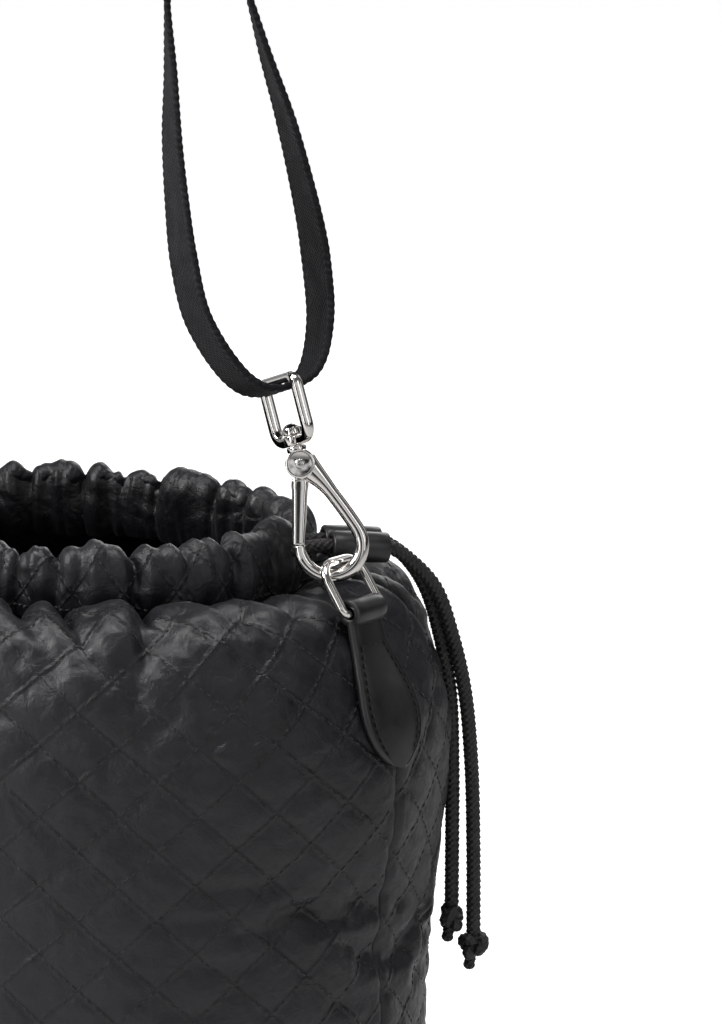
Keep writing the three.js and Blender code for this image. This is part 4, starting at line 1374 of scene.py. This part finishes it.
def make_side(side):
    hook, eye = hook_axes(HOOK_TURN), hook_axes(EYE_HEADING)
    in_hook = [
        ("hook_forging", make_hook_body(), f"hook_{side}", "polished_nickel", NICKEL, "hook_body"),
        ("gate_bar", make_gate(), f"gate_{side}", "polished_nickel", NICKEL, "hook_gate"),
        ("rivet_head", make_rivet(), f"hook_{side}", "rivet_steel", STEEL, "gate_rivet"),
        ("stud_turned", make_stud(), f"hook_{side}", "polished_nickel", NICKEL, "swivel_stud"),
    ]
    pieces = [
        ("tab_leather", make_tab_patches(), "bag", "leather", LEATHER, "tab"),
        ("tab_stitches", make_tab_stitches(), "bag", "leather", THREAD, None),
        ("d_ring", make_ring_patches(), f"ring_{side}", "polished_nickel", NICKEL, "ring"),
        *((name, [placed(p, hook, HOOK_PIVOT) for p in patches], *rest) for name, patches, *rest in in_hook),
        ("eye_cast", [placed(p, eye, HOOK_PIVOT) for p in make_eye()], "strap", "polished_nickel", NICKEL,
         "swivel_eye"),
    ]
    for name, patches, body, slot, material, node_name in pieces:
        shown = mirror(patches) if side == "left" else patches
        piece = build(f"{name}_{side}", shown, material, sharp=40)
        finish_piece(piece, body, slot, *([f"{node_name}_{side}"] if node_name else []))


make_side("right")
make_side("left")
for spring_side in ("right", "left"):
    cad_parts[f"gate_spring_{spring_side}"].data.materials[0] = STEEL
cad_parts["base_board"].data.materials[0] = BOARD


# ---- Webbing strap and slider ----

HEADINGS = [(375, 61), (415, 52), (454, 38), (500, 15), (520, 0)]  # the face's heading against height
SLIDER_BAR_INSET = mm(1.05)
SLIDER_RUN_OFFSET = mm(5)
SLIDER_HALF = mm([14, 12.4])


def strap_axes(z, side):
    """The strap's own directions at a height: along it, across its width, and out of its face."""
    share = np.clip((z - mm(345)) / mm(40), 0, 1)
    lean = HOOK_LEAN + (math.atan(STRAP_LEAN) - HOOK_LEAN) * share * share * (3 - 2 * share)
    lean *= side
    height, degrees = (np.array(column, float) for column in zip(*HEADINGS))
    heading = math.radians(np.interp(z / mm(1), height, degrees)) * side
    inward = np.array([math.cos(lean), 0, math.sin(lean)])
    along = np.array([-math.sin(lean), 0, math.cos(lean)])
    back = np.array([0, 1, 0])
    across = -math.sin(heading) * inward + math.cos(heading) * back
    face = math.cos(heading) * inward + math.sin(heading) * back
    return along, across, face


def run_point(z, offset, side=1):
    """A point of a run; side is +1 on the right, and offset is measured along the strap's face."""
    x = mm(85.5) - STRAP_LEAN * (z - mm(343.5))
    y = -mm(2.7) * min(max((mm(520) - z) / mm(180), 0), 1)
    return np.array([x * side, y, z]) + offset * strap_axes(z, side)[2]


def eye_point(offset, up, side=1):
    """A point near an eye's top bar, by its offset along the face and its distance above the bar."""
    along, _, face = strap_axes(HOOK_PIVOT[2], side)
    return HOOK_PIVOT * [side, 1, 1] + along * (EYE_TOP_BAR + up) + face * offset


def slider_point(offset, up):
    """A point near the slider's bar, by its offset toward the outside and its distance above the bar."""
    along, _, face = strap_axes(SLIDER_Z, 1)
    return run_point(SLIDER_Z, -SLIDER_BAR_INSET) + along * up + face * offset


def loop_run(sign):
    """One side of the loop through the right eye, up from its lowest point; sign is +1 for the outer run."""
    bend = mm([(0, -3), (4.6, -2.6), (9, -0.9), (13, 3), (16.4, 9), (19.6, 17.5), (21.6, 27)])
    runs = mm([(22.2, 378), (20.8, 395), (18.5, 415), (15.3, 434), (12.8, 454), (8.6, 484), (5.2, 507)])
    return [eye_point(sign * h, up) for h, up in bend] + [run_point(z, sign * h) for h, z in runs]


WEB_RIBS = 26


def webbing(points):
    """A woven strap along points, with a slanted rib on both faces and a chain of loops along each edge."""
    line = spline(points, mm(0.6))
    tangents = unit(np.gradient(line, axis=0))
    along = run_along(line)
    axes = [strap_axes(p[2], 1 if p[0] >= 0 else -1)[1] for p in line]
    across = unit(np.array(axes))
    normal = unit(np.cross(tangents, across))
    half, thick = WEB_WIDTH / 2, WEB_T / 2
    share = np.linspace(-1, 1, WEB_RIBS)
    edge_turn = np.radians([-60, -30, 0, 30, 60])
    reach = half - thick
    loop = [(x * reach, 1.0, 0) for x in share]
    loop += [(reach + thick * math.cos(a), math.sin(a), 1) for a in edge_turn[::-1]]
    loop += [(x * reach, -1.0, 0) for x in share[::-1]]
    loop += [(-reach - thick * math.cos(a), math.sin(a), 1) for a in edge_turn]
    x, side, is_edge = (np.array(column, float) for column in zip(*loop))
    rib = np.sin(2 * math.pi * (along[:, None] + (x * 0.9)[None] * np.sign(side)[None]) / mm(2.4))
    near_edge = np.clip((np.abs(x) - (half - mm(2.2))) / mm(0.5), 0, 1)[None]
    chain = np.abs(np.sin(math.pi * along[:, None] / mm(2.6)))
    high = (1 - near_edge) * mm(0.09) * rib + near_edge * (mm(0.3) * chain - mm(0.05))
    groove = np.exp(-(((np.abs(x) - (half - mm(2.5))) / mm(0.35)) ** 2))[None]
    lift = side[None] * (thick + (high - mm(0.14) * groove) * (1 - is_edge[None] * 0.4))
    out = x[None] + np.sign(x)[None] * is_edge[None] * mm(0.22) * chain
    rows = line[:, None] + out[..., None] * across[:, None] + lift[..., None] * normal[:, None]
    coords = paired(along[:, None], x[None])
    return capped(grid(rows, coords, around=True, flip=True), len(loop), flip=True)


def make_strap():
    straight = [slider_point(SLIDER_RUN_OFFSET, up) for up in mm([-24, 0, 26])]
    rise = mm([(33.4, 604), (27.6, 632), (20.2, 653), (10.6, 666.4)])
    arch = [np.array([x, 0, z]) for x, z in [*rise, (0, mm(670.5)), *(rise[::-1] * [-1, 1])]]
    down = [run_point(z, 0, -1) for z in mm([560, 520, 480, 440, 400, 372])]
    wrap = mm([
        (-1, 14), (-2.2, 6), (-3, 0.6), (-2.3, -2.2), (0, -3.2), (2.3, -2.2), (3, 0.8), (2.1, 6), (1.4, 14), (2.2, 34),
    ])
    around = [eye_point(offset, up, -1) for offset, up in wrap]
    outer = webbing([*loop_run(1), *straight, *arch, *down, *around])
    piece = build("webbing_strap", [outer], WEBBING_CLOTH)
    finish_piece(piece, "strap", "webbing", "strap_webbing")
    fold = mm([
        (-2.8, -22), (-2.8, -10), (-2.8, 0), (-2, 2), (0, 2.8), (2, 2), (2.8, 0), (2.8, -10), (2.8, -26),
    ])
    inner = webbing([*loop_run(-1), *(slider_point(offset, up) for offset, up in fold)])
    piece = build("webbing_return", [inner], WEBBING_CLOTH)
    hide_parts("strap_return")
    tuple(run_point(mm(372), 0))
    tuple(run_point(mm(512), 0))
    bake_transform(piece)


def stitched_box(centre, across, along, face, lift):
    """A box of stitches with a cross in it, as on a strap that is sewn to itself."""
    w, h = mm(6.5), mm(5.5)
    corners = [(-w, -h), (w, -h), (w, h), (-w, h)]
    sides = [*zip(corners, corners[1:] + corners[:1]), (corners[0], corners[2]), (corners[1], corners[3])]
    starts, ends = [], []
    for a, b in sides:
        a, b = np.array(a), np.array(b)
        length = math.dist(a, b)
        for at in np.arange(0.0, length - mm(1.5), mm(2.5)):
            starts.append(a + (b - a) * at / length)
            ends.append(a + (b - a) * (at + mm(1.7)) / length)
    starts, ends = (np.array(v)[:, :1] * across + np.array(v)[:, 1:] * along + centre + face * lift
                    for v in (starts, ends))
    return dashes(starts, ends, np.tile(face, (len(starts), 1)), mm(0.3))


def make_strap_stitches():
    """Where the webbing is sewn to itself above the left eye."""
    along, across, face = strap_axes(mm(362), -1)
    centre = eye_point(mm(0.6), mm(23), -1)
    left = [stitched_box(centre, across, along, s * face, mm(0.6) + WEB_T * 0.55 + mm(1.1) * (s > 0)) for s in (1, -1)]
    finish_piece(build("strap_stitches", left, THREAD), "strap", "webbing")


def make_slider():
    """The strap slider: a cast frame with rounded edges, and the bar that the webbing folds round."""
    along, across, face = strap_axes(SLIDER_Z, 1)
    axes = np.stack([face, np.array([0.0, 1.0, 0.0]), along], axis=1)
    centre = slider_point(0, 0)
    half_width, half_height = SLIDER_HALF
    rail, depth, middle = mm(2.6), mm(10.4), mm(3.6)
    front = middle + depth / 2 - mm(1.1)
    y, z, corner = half_width - rail / 2, half_height - mm(1.6), mm(2.2)
    flat = rounded_frame(y, -z, z, corner, corner)
    line = joined_up(np.stack([np.full(len(flat), front), flat[:, 0], flat[:, 1]], axis=1), mm(0.8))
    rim = sweep(line, mm(1.1), mm(1.45), sides=24, square=3.4, normal=[1, 0, 0], closed=True)
    parts = [placed(rim, axes, centre)]
    for s in (-1, 1):
        cheek = np.array([[middle - depth / 2, s * y, 0], [middle + depth / 2, s * y, 0]])
        slab = sweep(resample(cheek, mm(0.8)), half_height - mm(0.3), rail / 2, sides=40, square=7,
                     normal=[0, 0, 1], fixed=True, end=[(0.15, 0.97), (0.25, 0.88)])
        parts.append(placed(slab, axes, centre))
    finish_piece(build("slider_cast", parts, NICKEL, sharp=50), "slider", "polished_nickel", "slider_frame")
    bar = np.array([[0, -half_width + rail + mm(0.3), 0], [0, half_width - rail - mm(0.3), 0]])
    pin = sweep(resample(bar, mm(1)), mm(1.5), sides=32, normal=[0, 0, 1], end=FLAT_END)
    finish_piece(build("slider_pin", [placed(pin, axes, centre)], NICKEL, sharp=50), "slider", "polished_nickel",
                 "slider_bar")
    box = stitched_box(centre - along * mm(17), across, along, -face, mm(2.8) + WEB_T * 0.55)
    finish_piece(build("slider_fold_stitches", [box], THREAD), "slider", "webbing")


make_strap()
make_strap_stitches()
make_slider()


# ---- Scene ----


def make_stage():
    mesh = bpy.data.meshes.new("floor")
    reach = 30
    corners = [(-reach, -reach, 0), (reach, -reach, 0), (reach, reach, 0), (-reach, reach, 0)]
    mesh.from_pydata(corners, [], [(0, 1, 2, 3)])
    floor = add_object("floor", mesh)
    made, bsdf = shader("floor_paper", Roughness=0.9, Specular_IOR_Level=0.1)
    bsdf.inputs["Base Color"].default_value = (0.65, 0.65, 0.65, 1)
    bsdf.inputs["Emission Color"].default_value = (1, 1, 1, 1)
    glow = node(made, "ShaderNodeMath", operation="MULTIPLY")
    glow.inputs[1].default_value = 0.8
    link(made, node(made, "ShaderNodeLightPath").outputs["Is Camera Ray"], glow.inputs[0])
    link(made, glow.outputs[0], bsdf.inputs["Emission Strength"])
    mesh.materials.append(made)


make_stage()


def area_light(name, place, aim, size, power):
    data = bpy.data.lights.new(name, "AREA")
    data.shape = "RECTANGLE"
    data.size, data.size_y = size
    data.energy = power
    stand(add_object(name, data), place, Vector(aim) - Vector(place))


area_light("key", (-1.3, -1.6, 1.5), (0, 0, 0.25), (1.0, 1.0), 38)
area_light("window", (-0.2, -2.2, 0.75), (0.05, 0, 0.3), (0.35, 1.3), 5)
area_light("side", (1.9, -0.35, 1.0), (0.05, 0, 0.3), (0.3, 1.5), 2.6)
area_light("top", (0.1, -0.3, 2.1), (0, 0, 0.25), (1.3, 0.8), 22)
area_light("back", (-0.7, 1.9, 1.1), (0, 0, 0.25), (1.2, 0.9), 9)


def make_sky_light():
    """One very soft light from above that keeps the whole floor pale."""
    data = bpy.data.lights.new("sky", "SUN")
    data.energy = 0.2
    data.angle = math.radians(120)
    add_object("sky", data)


make_sky_light()


def make_world():
    """White behind everything the camera sees. The rest is a dim room with a few soft bright patches."""
    world = bpy.data.worlds.new("studio")
    bpy.context.scene.world = world
    world.use_nodes = True
    seen = world.node_tree.nodes["Background"]
    output = world.node_tree.nodes["World Output"]
    seen.inputs["Color"].default_value = (1, 1, 1, 1)
    seen.inputs["Strength"].default_value = 1.0
    unseen = node(world, "ShaderNodeBackground")
    place = node(world, "ShaderNodeTexCoord").outputs["Generated"]
    noise = node(world, "ShaderNodeTexNoise", Scale=2.1, Detail=1.0)
    ramp = node(world, "ShaderNodeValToRGB")
    for element, position, value in zip(ramp.color_ramp.elements, (0.53, 0.62), (0.03, 0.7)):
        element.position = position
        element.color = (value * 0.97, value * 0.98, value, 1)
    path, mix = node(world, "ShaderNodeLightPath"), node(world, "ShaderNodeMixShader")
    link(world, place, noise.inputs["Vector"])
    link(world, noise.outputs["Fac"], ramp.inputs["Fac"])
    link(world, ramp.outputs["Color"], unseen.inputs["Color"])
    link(world, path.outputs["Is Camera Ray"], mix.inputs[0])
    link(world, unseen.outputs[0], mix.inputs[1])
    link(world, seen.outputs[0], mix.inputs[2])
    link(world, mix.outputs[0], output.inputs["Surface"])


make_world()
bpy.context.scene.view_settings.view_transform = "Standard"
